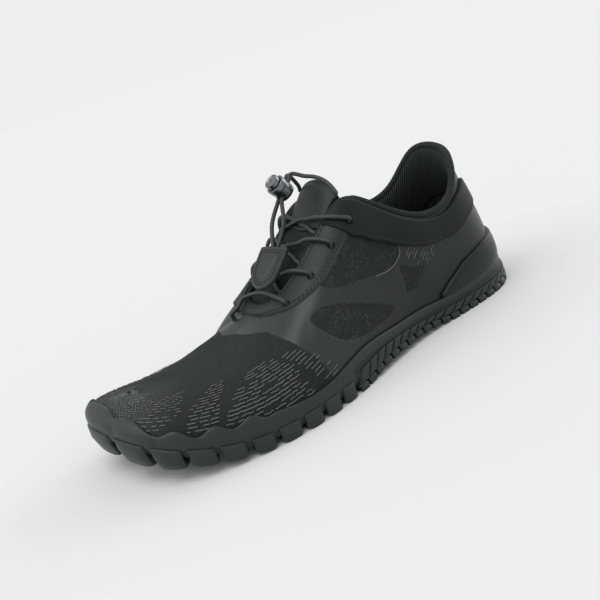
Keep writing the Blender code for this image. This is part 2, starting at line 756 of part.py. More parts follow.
def tongue_section(station):
    """Outer face of the tongue across one row, tucked under the upper at both sides."""
    tuck = tongue_values(station)[0]
    drop = -(WALL + TONGUE_GAP)
    medial = [skin(-station, from_rim(-station, tuck * share), drop) for share in TUCK_SPOTS]
    lateral = [skin(station, from_rim(station, tuck * share), drop) for share in TUCK_SPOTS[::-1]]
    if closed(station):
        middle = between(medial[-1], lateral[0], 9, skin(station, 1.0, drop))
    else:
        middle = [crown(station, -1 + i / 4) for i in range(9)]
    return medial + middle + lateral


def between(start, end, count, top):
    """Evenly spaced points from start to end that pass over a top point."""
    points = []
    for i in range(1, count + 1):
        t = i / (count + 1)
        flat = start.lerp(end, t)
        lift = top - (start + end) / 2
        points.append(flat + lift * 4 * t * (1 - t))
    return points


def build_tongue(home, finish):
    """Padded tongue under the throat; its top stands up in front of the ankle."""
    bm = bmesh.new()
    loft(bm, [tongue_section(row[0]) for row in TONGUE_ROWS])
    piece = add_object("tongue", bm, finish, home)
    face_outwards(piece)
    solidify(piece, TONGUE_THICKNESS, -1.0)
    return piece


# Overlays

def panel(name, stations, edges, thickness, home, finish, rows=3):
    """A panel on the upper; edges(place) gives its lower and upper edge as shares of the way up."""
    bm = bmesh.new()
    for side in (1, -1):
        grid = []
        for station in stations:
            place = side * station
            low, high = edges(place)
            grid.append([skin(place, low + (high - low) * i / rows, PANEL_GAP) for i in range(rows + 1)])
        if side < 0:
            grid.reverse()
        loft(bm, grid)
    piece = add_object(name, bm, finish, home)
    face_outwards(piece)
    solidify(piece, thickness, 1.0)
    apply_modifiers(piece)
    return piece


def throat_edge():
    """The throat's edge from the collar round its front and back."""
    stations = fine_stations(EYELETS[1][-1] - 1.0, THROAT_END, 0.03)
    return np.array([skin(station, 1.0) for station in stations] + [skin(-station, 1.0) for station in stations])


def share_at_reach(place, distance):
    """Share of the way up where the outer face lies a distance from the throat's edge."""
    points, _ = column(*ring(place))
    reach = np.array([np.linalg.norm(THROAT - point, axis=1).min() for point in points])
    for i in range(SAMPLES, 0, -1):
        if reach[i - 1] >= distance:
            part = (distance - reach[i]) / (reach[i - 1] - reach[i])
            return (i - max(part, 0.0)) / SAMPLES
    return 1.0


def eyestay_width(station):
    knots = [row[0] for row in EYESTAY_WIDTHS]
    return EYESTAY_WIDTH * float(np.interp(station, knots, [row[1] for row in EYESTAY_WIDTHS]))


def eyestay_edges(place):
    """The eyestay follows the throat's edge and starts under the collar band."""
    station, _ = ring(place)
    low = share_at_reach(place, eyestay_width(station))
    if station > BAND_EDGES[-1][0]:
        return low, 1.0
    high = band_edges(place)[0] - PANEL_GAP / column(*ring(place))[1]
    return min(low, high - 0.02), high


def eyestay_end():
    """Station on the ridge where the eyestay's front edge lies."""
    stations = [float(station) for station in np.linspace(THROAT_END, THROAT_END + 1.5, 100)]
    edge = np.array(skin(THROAT_END, 1.0))
    spare = [np.linalg.norm(np.array(skin(s, 1.0)) - edge) - 0.985 * eyestay_width(s) for s in stations]
    return float(np.interp(0.0, spare, stations))


def build_eyestay(home, finish, cutter):
    bend = eyestay_end() - THROAT_END
    front = [THROAT_END + bend * math.sin(math.radians(angle)) for angle in (15, 30, 45, 60, 75, 90)]
    first = BAND_EDGES[-1][0]
    rear = fine_stations(EYESTAY_START, first, 0.235) + [first + 0.06]
    stations = [station for station in upper_stations() if first + 0.1 < station <= THROAT_END]
    piece = panel("eyestay", rear + stations + front, eyestay_edges, OVERLAY, home, finish, rows=4)
    boolean(piece, cutter, "DIFFERENCE")
    return piece


def band_edges(place):
    """Lower and upper edge of the collar band."""
    station, _ = ring(place)
    knots = [row[0] for row in BAND_EDGES]
    top = HEEL_HEIGHT * float(np.interp(station, knots, [row[1] for row in BAND_EDGES]))
    width = BAND_WIDTH * float(np.interp(station, knots, [row[2] for row in BAND_EDGES]))
    return from_rim(place, top + width), from_rim(place, top)


def build_collar_band(home, finish, cutter):
    last = BAND_EDGES[-1][0]
    stations = [station for station in upper_stations() if station < last]
    piece = panel("collar_band", stations + [last], band_edges, BAND_THICKNESS, home, finish)
    boolean(piece, cutter, "DIFFERENCE")
    return piece


def counter_top(place):
    """Share of the way up where the heel counter ends."""
    station, _ = ring(place)
    height = float(np.interp(station, [row[0] for row in COUNTER_TOPS], [row[1] for row in COUNTER_TOPS]))
    return share_at_height(place, height * HEEL_HEIGHT)


def counter_edges(place):
    """The heel counter stands on the rand."""
    low = rand_reach(place) + 2 * GAP / column(*ring(place))[1]
    return low, max(counter_top(place), 1.08 * low)


def patch_edges(place):
    """The heel patch fills the space between counter and collar band."""
    margin = PATCH_CLEARANCE / column(*ring(place))[1]
    return counter_top(place) + margin, band_edges(place)[0] - margin


def build_heel_patch(home, finish):
    return panel("heel_patch", (0.0, PATCH_END / 2, PATCH_END), patch_edges, OVERLAY, home, finish, rows=2)


def build_counter(home, finish):
    stations = fine_stations(0.0, COUNTER_TOPS[-1][0], 0.25)
    return panel("heel_counter", stations, counter_edges, COUNTER_THICKNESS, home, finish)


THROAT = throat_edge()


# Eyelet holes

def build_eyelet_cutter(cutters):
    """Pins through upper and overlays at each eyelet."""
    bm = bmesh.new()
    for side in (1, -1):
        for station in EYELETS[side]:
            place = side * station
            share = share_at_reach(place, EYELET_INSET)
            centre = skin(place, share)
            axis = normal_at(place, share)
            turn = axis.to_track_quat("Z", "Y").to_matrix().to_4x4()
            spot = Matrix.Translation(centre) @ turn
            bmesh.ops.create_cone(bm, cap_ends=True, segments=10, radius1=EYELET_RADIUS, radius2=EYELET_RADIUS,
                                  depth=PIN_LENGTH, matrix=spot)
    mesh = bpy.data.meshes.new("eyelet_pins")
    bm.to_mesh(mesh)
    bm.free()
    cutter = bpy.data.objects.new("eyelet_pins", mesh)
    cutters.objects.link(cutter)
    return cutter


# Laces

def over_tongue(station, spot, lift):
    """Point above the tongue's face by a lift."""
    step = 0.04
    here = crown(station, spot)
    along = crown(station + step, spot) - here
    across = crown(station, min(spot + step, 1.0)) - crown(station, max(spot - step, -1.0))
    return here + along.cross(across).normalized() * lift


def eyelet_stop(number, side):
    """The lace over the rim and its end above the eyelet."""
    cover = BAND_THICKNESS if number == len(EYELETS[side]) - 1 else OVERLAY
    lift = PANEL_GAP + cover + LACE_CLEARANCE + LACE_RADIUS
    first = RIM_CROSSINGS[side][number]
    last = EYELETS[side][number]
    points = []
    for share in (0.1, 0.5, 1.0):
        place = side * (first + (last - first) * share)
        points.append(skin(place, share_at_reach(place, share * EYELET_INSET), lift))
    return points


def tongue_way(rows, first, last, side, sag):
    """Points over the tongue from one rim to the other."""
    points = []
    for share, spot, extra in rows:
        station = first + (last - first) * share + sag * (1 - spot * spot)
        lift = LACE_RADIUS * (1 + extra) + LACE_CLEARANCE
        points.append(over_tongue(station, side * spot, lift))
    return points


def strand_points(number, side):
    """Route from under one rim, over the tongue, to the next eyelet of the other side."""
    way = tongue_way(STRAND, STRAND_STARTS[side][number], RIM_CROSSINGS[-side][number + 1], side, LACE_SAG)
    return smooth(way + eyelet_stop(number + 1, -side), 12)


def bar_points():
    """Route of the straight bar between the two front eyelets."""
    way = tongue_way(BAR, RIM_CROSSINGS[1][0], RIM_CROSSINGS[-1][0], 1, BAR_SAG)
    return smooth(eyelet_stop(0, 1)[::-1] + way + eyelet_stop(0, -1), 13)


def lace_curve(name, points, home, finish):
    """A round lace along its points."""
    curve = bpy.data.curves.new(name, "CURVE")
    curve.dimensions = "3D"
    curve.bevel_depth = LACE_RADIUS
    curve.bevel_resolution = 2
    curve.use_fill_caps = True
    spline = curve.splines.new("POLY")
    spline.points.add(len(points) - 1)
    for spot, point in zip(spline.points, points):
        spot.co = (*point, 1.0)
    curve.materials.append(finish)
    piece = bpy.data.objects.new(name, curve)
    home.objects.link(piece)
    return piece


def lace_mesh(name, points, home, finish):
    """The same as a closed mesh, ready to be joined to another."""
    draft = lace_curve(name + "_draft", points, home, finish)
    graph = bpy.context.evaluated_depsgraph_get()
    bm = bmesh.new()
    bm.from_mesh(bpy.data.meshes.new_from_object(draft.evaluated_get(graph)))
    bpy.data.objects.remove(draft)
    return add_object(name, bm, finish, home)


def build_laces(home, cutters, finish):
    """Bar at the front, then a crossing between each two pairs of eyelets."""
    lace_curve("lace_bar", bar_points(), home, finish)
    for i in range(len(STRAND_STARTS[1])):
        name = f"lace_cross_{i + 1}"
        piece = lace_mesh(name, strand_points(i, 1), home, finish)
        other = lace_mesh(name + "_strand", strand_points(i, -1), cutters, finish)
        boolean(piece, other, "UNION")


def lock_frame():
    """Centre of the slot in the cord lock, the button's axis and the way the laces run through."""
    centre = crown(5.42, -.38) + Vector((LOCK_REACH, 0.0, LOCK_RISE))
    tilt = math.radians(LOCK_TILT)
    axis = Vector((math.cos(tilt), 0.0, math.sin(tilt)))
    way = tab_frame()[0] - centre
    way = (way - axis * way.dot(axis)).normalized()
    return centre, axis, way


def tab_frame():
    """Middle of the tab's top edge, the way down to its foot and the way across it."""
    top = over_tongue(*TAB_TOP)
    foot = over_tongue(*TAB_FOOT)
    down = (foot - top).normalized()
    level = (Vector((0.0, 1.0, 0.0)) - down * down.y).normalized()
    turn = math.radians(TAB_TURN)
    return top, down, level * math.cos(turn) + down.cross(level) * -math.sin(turn)


def lace_end_points(side):
    """Route of one end: out from under the top of the collar, over the tongue, through the lock to the tab."""
    centre, axis, way = lock_frame()
    top, down, across = tab_frame()
    points = []
    for station, spot, extra in END_OUTER if side > 0 else END_INNER:
        points.append(over_tongue(station, side * spot, LACE_RADIUS * (1 + extra) + LACE_CLEARANCE))
    beside = axis.cross(way) * (side * LACE_SPACING / 2)
    points += [centre + beside + way * (LOCK_RADIUS * share) for share in (-1.9, -1.1, -.4, .4, 1.1)]
    finish = top - down * (GAP + LACE_RADIUS) + across * (side * LACE_SPACING / 2)
    points.append((points[-1] + finish) / 2 + across * (side * END_BOW))
    points.append(finish)
    return smooth(points, 26 if side > 0 else 20)


# Cord lock and tab

def turned(bm, profile, segments, place):
    """A closed turned solid; the profile's first and last points lie on the axis."""
    rings = []
    for radius, height in profile[1:-1]:
        turns = [2 * math.pi * i / segments for i in range(segments)]
        rings.append([bm.verts.new(place @ Vector((radius * math.cos(a), radius * math.sin(a), height))) for a in turns])
    for lower, upper in zip(rings, rings[1:]):
        for i in range(segments):
            j = (i + 1) % segments
            bm.faces.new((lower[i], lower[j], upper[j], upper[i]))
    bm.faces.new(rings[0][::-1])
    bm.faces.new(rings[-1])


def frame_matrix(centre, axis, way):
    """Matrix with Z along the axis and X along the way."""
    side = axis.cross(way)
    turn = Matrix((way, side, axis)).transposed().to_4x4()
    return Matrix.Translation(centre) @ turn


def build_lock(home, cutters, finish):
    """Cord lock body: recess for the button on top, a slot through it for the two laces."""
    centre, axis, way = lock_frame()
    place = frame_matrix(centre - axis * LOCK_SLOT_HEIGHT, axis, way)
    edge = LOCK_CHAMFER
    bore = BUTTON_RADIUS + GAP
    bm = bmesh.new()
    turned(bm, ((0.0, 0.0), (LOCK_RADIUS - edge, 0.0), (LOCK_RADIUS, edge), (LOCK_RADIUS, LOCK_LENGTH - edge),
                (LOCK_RADIUS - edge, LOCK_LENGTH), (bore, LOCK_LENGTH), (bore, LOCK_FLOOR), (0.0, LOCK_FLOOR)),
           20, place)
    bmesh.ops.recalc_face_normals(bm, faces=bm.faces)
    piece = add_object("cord_lock", bm, finish, home)
    bm = bmesh.new()
    outline = []
    for side in (1, -1):
        for angle in (-90, -45, 0, 45, 90):
            turn = math.radians(angle)
            outline.append((side * (LACE_SPACING / 2 - 0.0001 + LOCK_SLOT / 2 * math.cos(turn)),
                            side * LOCK_SLOT / 2 * math.sin(turn)))
    ends = []
    for reach in (-1.2 * LOCK_RADIUS, 1.2 * LOCK_RADIUS):
        ends.append([place @ Vector((reach, y, LOCK_SLOT_HEIGHT + z)) for y, z in outline])
    block(bm, *ends)
    bmesh.ops.recalc_face_normals(bm, faces=bm.faces)
    slot = add_object("lock_slot", bm, finish, cutters)
    boolean(piece, slot, "DIFFERENCE")


def build_button(home, finish):
    """Push button of the cord lock; its origin lies on its axis."""
    centre, axis, way = lock_frame()
    bottom = LOCK_FLOOR + GAP + LOCK_TRAVEL - LOCK_SLOT_HEIGHT
    edge = LOCK_CHAMFER
    bm = bmesh.new()
    turned(bm, ((0.0, 0.0), (BUTTON_RADIUS, 0.0), (BUTTON_RADIUS, BUTTON_LENGTH - edge),
                (BUTTON_RADIUS - edge, BUTTON_LENGTH), (0.0, BUTTON_LENGTH)), 20,
           frame_matrix(Vector(), axis, way))
    bmesh.ops.recalc_face_normals(bm, faces=bm.faces)
    piece = add_object("cord_lock_button", bm, finish, home)
    piece.location = centre + axis * bottom


def build_tab(home, finish):
    """Shield-shaped sleeve that holds the laces' ends."""
    top, down, across = tab_frame()
    out = across.cross(down)
    outline = ((0.0, -.5), (.62, -.5), (.82, -.40), (.94, -.22), (1.0, 0.0), (.94, .22), (.82, .40), (.62, .5),
               (0.0, .5))
    faces = []
    for lift in (-TAB_THICKNESS / 2, TAB_THICKNESS / 2):
        faces.append([top + down * (TAB_LENGTH * u) + across * (TAB_WIDTH * v) + out * lift for u, v in outline])
    bm = bmesh.new()
    block(bm, *faces)
    bmesh.ops.recalc_face_normals(bm, faces=bm.faces)
    add_object("lace_tab", bm, finish, home)


def main():
    for thing in list(bpy.data.objects):
        bpy.data.objects.remove(thing)
    home = bpy.data.collections.new("barefoot_shoe")
    cutters = bpy.data.collections.new("cutters")
    bpy.context.scene.collection.children.link(home)
    bpy.context.scene.collection.children.link(cutters)

    knit = material("black_knit", (0.035, 0.037, 0.037), 0.85)
    rubber = material("charcoal_rubber", (0.040, 0.042, 0.043), 0.55)
    leather = material("synthetic_leather", (0.030, 0.033, 0.033), 0.45)
    textile = material("tongue_textile", (0.040, 0.042, 0.042), 0.80)
    foam = material("insole_textile", (0.015, 0.015, 0.015), 0.90)
    cord = material("lace_cord", (0.020, 0.021, 0.021), 0.60)
    metal = material("gunmetal", (0.070, 0.073, 0.075), 0.25, 1.0)

    lugs = build_lugs(cutters)
    pins = build_eyelet_cutter(cutters)
    build_outsole(home, rubber, lugs)
    build_upper(home, knit, pins)
    build_insole(home, foam)
    build_tongue(home, textile)
    build_eyestay(home, leather, pins)
    build_collar_band(home, leather, pins)
    build_heel_patch(home, leather)
    build_counter(home, rubber)
    build_laces(home, cutters, cord)
    for side, name in ((1, "lace_end_lateral"), (-1, "lace_end_medial")):
        lace_curve(name, lace_end_points(side), home, cord)
    build_lock(home, cutters, metal)
    build_button(home, metal)
    build_tab(home, leather)
    shift_home(home)
    shift_home(cutters)


main()
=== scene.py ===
"""The dressed barefoot shoe: knit upper with film, overlays and stitching, rubber sole, laces and their lock.

Metres, +Z up, +X towards the toe, +Y towards the outer (lateral) side. A place runs round the shoe in
stations: 0 at the heel, +12 or -12 at the toe, negative on the medial side. A share runs up the outer face,
from 0 at the feather line to 1 at the rim.
"""
import math
import bmesh
import bpy
import numpy as np
from mathutils import Matrix, Vector
from mathutils.bvhtree import BVHTree


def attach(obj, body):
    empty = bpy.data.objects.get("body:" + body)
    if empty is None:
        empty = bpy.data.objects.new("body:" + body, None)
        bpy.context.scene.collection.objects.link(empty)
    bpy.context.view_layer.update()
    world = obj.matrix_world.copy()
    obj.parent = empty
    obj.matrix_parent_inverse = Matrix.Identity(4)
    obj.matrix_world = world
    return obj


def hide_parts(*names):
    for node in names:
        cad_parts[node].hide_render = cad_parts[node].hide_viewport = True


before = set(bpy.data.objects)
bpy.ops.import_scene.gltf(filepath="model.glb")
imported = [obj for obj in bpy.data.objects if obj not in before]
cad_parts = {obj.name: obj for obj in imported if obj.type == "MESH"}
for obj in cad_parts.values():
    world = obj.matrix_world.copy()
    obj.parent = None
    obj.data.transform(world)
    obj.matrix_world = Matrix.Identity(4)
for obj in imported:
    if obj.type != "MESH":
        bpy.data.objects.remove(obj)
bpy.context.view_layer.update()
MM = 0.001

# Camera: the picture's scale and middle, and the photograph's angle to the shoe
PICTURE = 600
SENSOR = 36.0
SCALE_AT_TARGET = 1690.0      # pixels for a metre
NEAR_CLIP = 0.01
PICTURE_MIDDLE = (312, 303)
CAMERA_TARGET = Vector((0.1078, 0.0, 0.040))
CAMERA_DISTANCE = 0.465
CAMERA_TURN = 30.0
CAMERA_RISE = 18.5
CAMERA_ROLL = 18.3

# Sizes of the last and the shoe, as in the part
LENGTH = 0.280
BALL_WIDTH = 0.103
HEEL_WIDTH = 0.067
HEEL_HEIGHT = 0.095
COLLAR_HEIGHT = 0.067
INSTEP_HEIGHT = 0.093
TOE_HEIGHT = 0.024
TOE_SPRING = 0.021
HEEL_BEVEL = 0.003
ARCH_RISE = 0.003
GAP = 0.0003
PANEL_GAP = 0.0006
CUP_EASE = 0.0003
WALL = 0.0018
OVERLAY = 0.0013
BAND_THICKNESS = 0.0018
COUNTER_THICKNESS = 0.0022
TONGUE_THICKNESS = 0.0036
TONGUE_GAP = 0.0006
TONGUE_TUCK = 0.020
TONGUE_RISE = 0.0055
RAND_WALL = 0.0020
RAND_HEIGHT = 0.016
LOBE_HEIGHT = 0.0018
LUG_DEPTH = 0.0035
FEATHER_RISE = 0.008
INSOLE_THICKNESS = 0.003
INSOLE_CLEARANCE = 0.0008
INSOLE_BEVEL = 0.008
EYESTAY_WIDTH = 0.019
BAND_WIDTH = 0.018
PATCH_CLEARANCE = 0.0015
LACE_RADIUS = 0.00125
LACE_CLEARANCE = 0.0005
LACE_SPACING = 0.0031
EYELET_RADIUS = 0.0017
EYELET_INSET = 0.0120
LOCK_RADIUS = 0.0062
LOCK_LENGTH = 0.0105
LOCK_FLOOR = 0.0060
LOCK_SLOT_HEIGHT = 0.0032
LOCK_REACH = 0.0160
LOCK_RISE = 0.0035
LOCK_TILT = 53.6
LOCK_TRAVEL = 0.0022
BUTTON_RADIUS = 0.0046
BUTTON_LENGTH = 0.0052
TAB_WIDTH = 0.018
TAB_LENGTH = 0.027
TAB_THICKNESS = 0.0034
TAB_TURN = 20.0
END_BOW = 0.0026
REST_X = 0.115 * LENGTH

COLUMNS = ("lat_x", "lat_y", "med_x", "med_y", "rim_x", "rim_y", "gap", "lat_z", "med_z",
           "dip", "foot_pull", "rim_pull", "lat_lean", "med_lean", "rand")
SECTIONS = (
    (0.000, 0.000, 0.000, 0.000, 0.061, 0.000, 0.000, 1.000, 1.000, 85, .42, .30, -3, -3, 1.05,
     HEEL_WIDTH, HEEL_HEIGHT),
    (0.025, 0.285, 0.025, -.285, 0.082, 0.000, 0.255, 0.930, 0.985, 84, .42, .30, 0, 0, 1.03,
     HEEL_WIDTH, HEEL_HEIGHT),
    (0.093, 0.463, 0.093, -.463, 0.136, -.007, 0.418, 1.070, 1.130, 82, .42, .30, 4, 4, 1.05,
     HEEL_WIDTH, COLLAR_HEIGHT),
    (0.204, 0.500, 0.200, -.493, 0.221, -.015, 0.463, 0.990, 1.060, 78, .40, .30, 5, 5, 0.95,
     HEEL_WIDTH, COLLAR_HEIGHT),
    (0.318, 0.500, 0.307, -.425, 0.307, -.015, 0.425, 1.160, 1.190, 70, .40, .30, 3, 2, 1.05,
     HEEL_WIDTH, COLLAR_HEIGHT),
    (0.418, 0.369, 0.404, -.252, 0.382, -.019, 0.214, 1.000, 1.000, 55, .40, .30, 2, -2, 1.15,
     BALL_WIDTH, INSTEP_HEIGHT),
    (0.514, 0.432, 0.500, -.296, 0.443, -.029, 0.180, 0.935, 0.945, 42, .40, .32, 0, -3, 1.25,
     BALL_WIDTH, INSTEP_HEIGHT),
    (0.607, 0.490, 0.596, -.388, 0.521, -.039, 0.170, 0.755, 0.765, 30, .40, .32, 2, 0, 1.02,
     BALL_WIDTH, INSTEP_HEIGHT),
    (0.696, 0.505, 0.693, -.456, 0.607, -.049, 0.146, 0.580, 0.590, 20, .42, .34, 5, 4, 0.98,
     BALL_WIDTH, INSTEP_HEIGHT),
    (0.789, 0.466, 0.796, -.495, 0.679, -.063, 0.000, 1.810, 1.810, 0, .42, .40, 8, 7, 1.15,
     BALL_WIDTH, TOE_HEIGHT),
    (0.879, 0.383, 0.893, -.490, 0.761, -.087, 0.000, 1.550, 1.550, 0, .40, .42, 10, 9, 1.03,
     BALL_WIDTH, TOE_HEIGHT),
    (0.955, 0.189, 0.961, -.427, 0.839, -.126, 0.000, 1.350, 1.350, 0, .43, .44, 10, 10, 1.08,
     BALL_WIDTH, TOE_HEIGHT),
    (0.989, -.233, 0.989, -.233, 0.914, -.194, 0.000, 1.120, 1.120, 0, .52, .44, 12, 12, 1.35,
     BALL_WIDTH, TOE_HEIGHT),
)
LAST = len(SECTIONS) - 1
OVERRUN = 3
SAMPLES = 40
THROAT_END = 8.12
THROAT_ROUND = {1: 7.20, -1: 7.75}
THROAT_POWER = 2.4
RIDGE_BLEND = 8.0
BAND_EDGES = (
    (0.0, .284, .89), (0.6, .232, .94), (1.2, .126, 1.0), (2.0, .047, .92), (3.0, .034, .85),
    (4.0, .034, 1.04), (4.8, .021, 1.33), (5.3, 0.0, 1.26), (5.87, 0.0, .50), (6.10, 0.0, .12))
EYESTAY_WIDTHS = ((5.40, 1.22), (6.50, 1.30), (7.70, 1.12), (8.30, 0.95), (9.00, 0.86))
EYESTAY_START = 5.40
PATCH_END = 0.62
COUNTER_TOPS = ((0.0, .368), (1.0, .363), (2.0, .353), (2.7, .316), (3.2, .242), (3.45, .189))
TONGUE_ROWS = (
    (9.15, 0.95, 0.00, 0.00), (8.75, 1.00, 0.00, 0.00), (8.40, 0.80, 0.00, 0.00), (8.14, 0.65, 0.00, 0.00),
    (7.85, 0.58, 0.00, 0.00), (7.50, 0.55, 0.00, 0.00), (7.00, 0.50, 0.00, 0.00), (6.50, 0.45, 0.09, 0.00),
    (6.10, 0.40, 0.27, 0.09), (5.75, 0.35, 0.55, 0.27), (5.45, 0.27, 0.82, 0.45), (5.20, 0.20, 1.00, 0.55))
LACE_SAG = 0.22
EYELETS = {1: (7.63, 6.83, 6.03, 5.28), -1: (8.18, 6.80, 6.15, 5.50)}
RIM_CROSSINGS = {1: (7.86, 7.28, 6.58, 6.05), -1: (8.04, 7.20, 6.65, 6.10)}
STRAND_STARTS = {1: (7.66, 7.02, 6.36), -1: (7.50, 6.92, 6.36)}
STRAND_RISE = {1: -0.0005, -1: 0.0019}
EYELET_DIVE = ((0.0007, 0.0019), (0.0012, 0.0004), (0.0012, -0.0036))
UNDER_RIM = ((1.0, -0.0039), (0.55, -0.0034), (0.12, -0.0032))
STRAND = ((0.00, .80, 0.0), (0.25, .45, 0.1), (0.50, .00, 0.2), (0.78, -.45, 0.9), (0.95, -.80, 2.7))
BAR = ((0.10, .80, 3.2), (0.30, .45, 3.2), (0.50, .00, 3.2), (0.70, -.45, 3.2), (0.90, -.80, 3.2))
BAR_SAG = 0.07
END_OUTER = ((5.23, .88, 0.0), (5.22, .66, 0.2), (5.22, .36, 0.6), (5.24, .06, 1.6), (5.28, -.16, 3.4))
END_INNER = ((5.23, .84, 0.0), (5.25, .72, 0.8), (5.30, .60, 2.8))
LOCK_PLACE = (5.42, -.38)
LOCK_SPOTS = (-1.9, -1.1, -.4, .4, 1.1)
TAB_TOP = (7.20, 0.15, 0.0115)
TAB_FOOT = (7.90, 0.75, 0.0120)
EDGE_LUGS = (
    (11.62, 12.38), (11.02, 11.50), (10.44, 10.92), (9.86, 10.34), (9.30, 9.76), (8.74, 9.18),
    (8.18, 8.64), (7.64, 8.08), (7.12, 7.54), (6.64, 7.02))
FIELD_ROWS = (0.235, 0.325, 0.415, 0.505, 0.595, 0.680, 0.762, 0.843)
FIELD_MARGIN = 0.0155
FIELD_PITCH = 0.0175
FIELD_LUG = 0.0145
FIELD_GROOVE = 0.003
HEEL_LUG = 0.0182
LUG_REACH = 0.013
LUG_EDGE = 0.0042
RIB_REACH = 0.009
RIB_PITCH = 0.0080
RIB_SLOT = 0.0012
RIB_RISE = 0.0010
RIB_LOW = 0.0085
RIB_ARCH = 0.0045
RIB_LAST = 6.55
LOBE_PITCH = 0.70
LOBE_CREST = 9.05
LOBES_FROM = (8.5, 8.9)
LOBES_TO = (11.45, 11.75)

# Steps of the dressed pieces
ROLL_RADII = ((0.0, 2.3 * MM), (3.0, 2.1 * MM), (5.2, 1.75 * MM), (6.0, 1.55 * MM), (7.4, 1.45 * MM),
              (8.12, 1.3 * MM))
PAD_DEPTH = 36 * MM
PAD_SWELL = 3.2 * MM
PAD_END = 5.5
PAD_FADE = 1.6
UNDER_PANEL = 0.5 * MM        # how far a panel's back lies in the wall
BAND_SEAM = 2.2 * MM
EYESTAY_INSET = 1.3 * MM
EYESTAY_SEAM = 1.9 * MM       # from the inner edge
EYESTAY_SEAMS = (2.1 * MM, 4.3 * MM)      # from the outer edge
FILM_STEP = 0.15 * MM
TOE_YARN_START = 10.3
# Station where the film's painted shade towards the heel starts to fade out
SATIN_SHADE_FADE_START = 4.9
MARK_LIFT = 0.25 * MM
LACE_POINTS = 110
LACE_END_POINTS = 90
WAVE_LENGTH = 4.5 * MM

# Front edge of the film on the vamp: share of the way up, station on the lateral and on the medial side
FILM_FRONT = ((0.0, 6.90, 7.20), (.21, 7.17, 7.55), (.34, 7.40, 7.85), (.49, 7.73, 8.12), (.67, 8.15, 8.42),
              (.82, 8.60, 8.80), (1.0, 9.02, 9.02))
# Windows in the film: place and share of the points round each
WINDOWS = {
    "leaf": ((7.18, .54), (6.93, .56), (6.42, .485), (5.55, .35), (4.76, .24), (5.12, .18), (5.83, .185),
             (6.43, .25), (6.91, .39)),
    "saddle": ((6.72, .74), (6.30, .86), (5.47, .88), (4.75, .86), (4.12, .78), (4.14, .63), (4.31, .55),
               (4.59, .49), (4.98, .47), (5.81, .51), (6.45, .60)),
    "ankle": ((4.26, .515), (3.95, .500), (3.64, .485), (3.66, .470), (3.86, .36), (3.92, .32), (4.10, .30),
              (4.26, .29), (4.27, .31), (4.25, .40)),
}
# Light arc at the rear of the side window
WINDOW_ARC = ((4.12, .70), (4.13, .64), (4.31, .55), (4.59, .49), (4.98, .465))
# Fields of raised knit marks: place and share of the corners
FIELDS = {
    "toe_specks": ((12.40, .39), (12.80, .52), (13.00, .70), (10.85, .50), (11.15, .31), (11.43, .20)),
    "toe_dashes": ((11.10, .16), (11.00, .36), (10.70, .55), (10.30, .58), (10.30, .30), (10.76, .14)),
    "vamp_dashes": ((10.38, .13), (10.15, .30), (9.62, .53), (9.38, .48), (9.66, .13)),
    "waves": ((9.54, .13), (9.32, .28), (8.85, .45), (8.31, .44), (7.85, .34), (7.60, .10), (8.16, .10),
              (9.06, .13)),
    "slashes": ((8.30, .50), (7.95, .47), (7.35, .35), (6.75, .13), (6.95, .08), (7.45, .12), (7.75, .32)),
    "ankle_dashes": ((4.05, .70), (3.28, .72), (3.40, .50), (3.95, .50)),
}


# The last

def natural_spline(knots, values):
    """A reader of the natural cubic spline through rows of values, one row a unit apart for each knot."""
    values = np.asarray(values, float)
    size = len(knots)
    system = np.eye(size)
    right = np.zeros(values.shape)
    for i in range(1, size - 1):
        system[i, i - 1:i + 2] = (1, 4, 1)
        right[i] = 6 * (values[i + 1] - 2 * values[i] + values[i - 1])
    bend = np.linalg.solve(system, right)

    def read(places):
        places = np.asarray(places, float)
        i = np.clip(np.floor(places - knots[0]).astype(int), 0, size - 2)
        b = (places - knots[0] - i)[..., None]
        a = 1 - b
        curve = ((a ** 3 - a) * bend[i] + (b ** 3 - b) * bend[i + 1]) / 6
        return a * values[i] + b * values[i + 1] + curve

    return read


def section_values():
    """Named sizes of each section, in metres and degrees."""
    rows = []
    for row in SECTIONS:
        width, height = row[-2:]
        scales = (LENGTH, width, LENGTH, width, LENGTH, width, width, height, height,
                  1, 1, 1, 1, 1, RAND_HEIGHT)
        rows.append({name: value * scale for name, value, scale in zip(COLUMNS, row, scales)})
    return rows


ROWS = section_values()


def foot_spline():
    """Feather line, lean and rand height round the whole ring."""
    knots = list(range(-LAST - OVERRUN, LAST + OVERRUN + 1))
    values = []
    for knot in knots:
        place = float(round_ring(knot))
        row = ROWS[int(abs(place))]
        end = "lat" if place >= 0 else "med"
        values.append([row[end + "_x"], row[end + "_y"], row[end + "_lean"], row["rand"]])
    return natural_spline(knots, values)


def rim_spline(side):
    """Rim or ridge of one side, run on past the heel into the other side."""
    knots = list(range(-OVERRUN, LAST + 1))
    values = []
    for knot in knots:
        row = ROWS[abs(knot)]
        here = side if knot >= 0 else -side
        height = row["lat_z"] if here > 0 else row["med_z"]
        values.append([row["rim_x"], row["rim_y"], here * row["gap"], height, row["dip"], row["foot_pull"],
                       row["rim_pull"]])
    return natural_spline(knots, values)


def round_ring(places):
    """Places past the toe, carried on round the ring."""
    places = np.asarray(places, float)
    places = np.where(places > LAST, places - 2 * LAST, places)
    return np.where(places < -LAST, places + 2 * LAST, places)


FOOT = foot_spline()
RIM = {side: rim_spline(side) for side in (1, -1)}


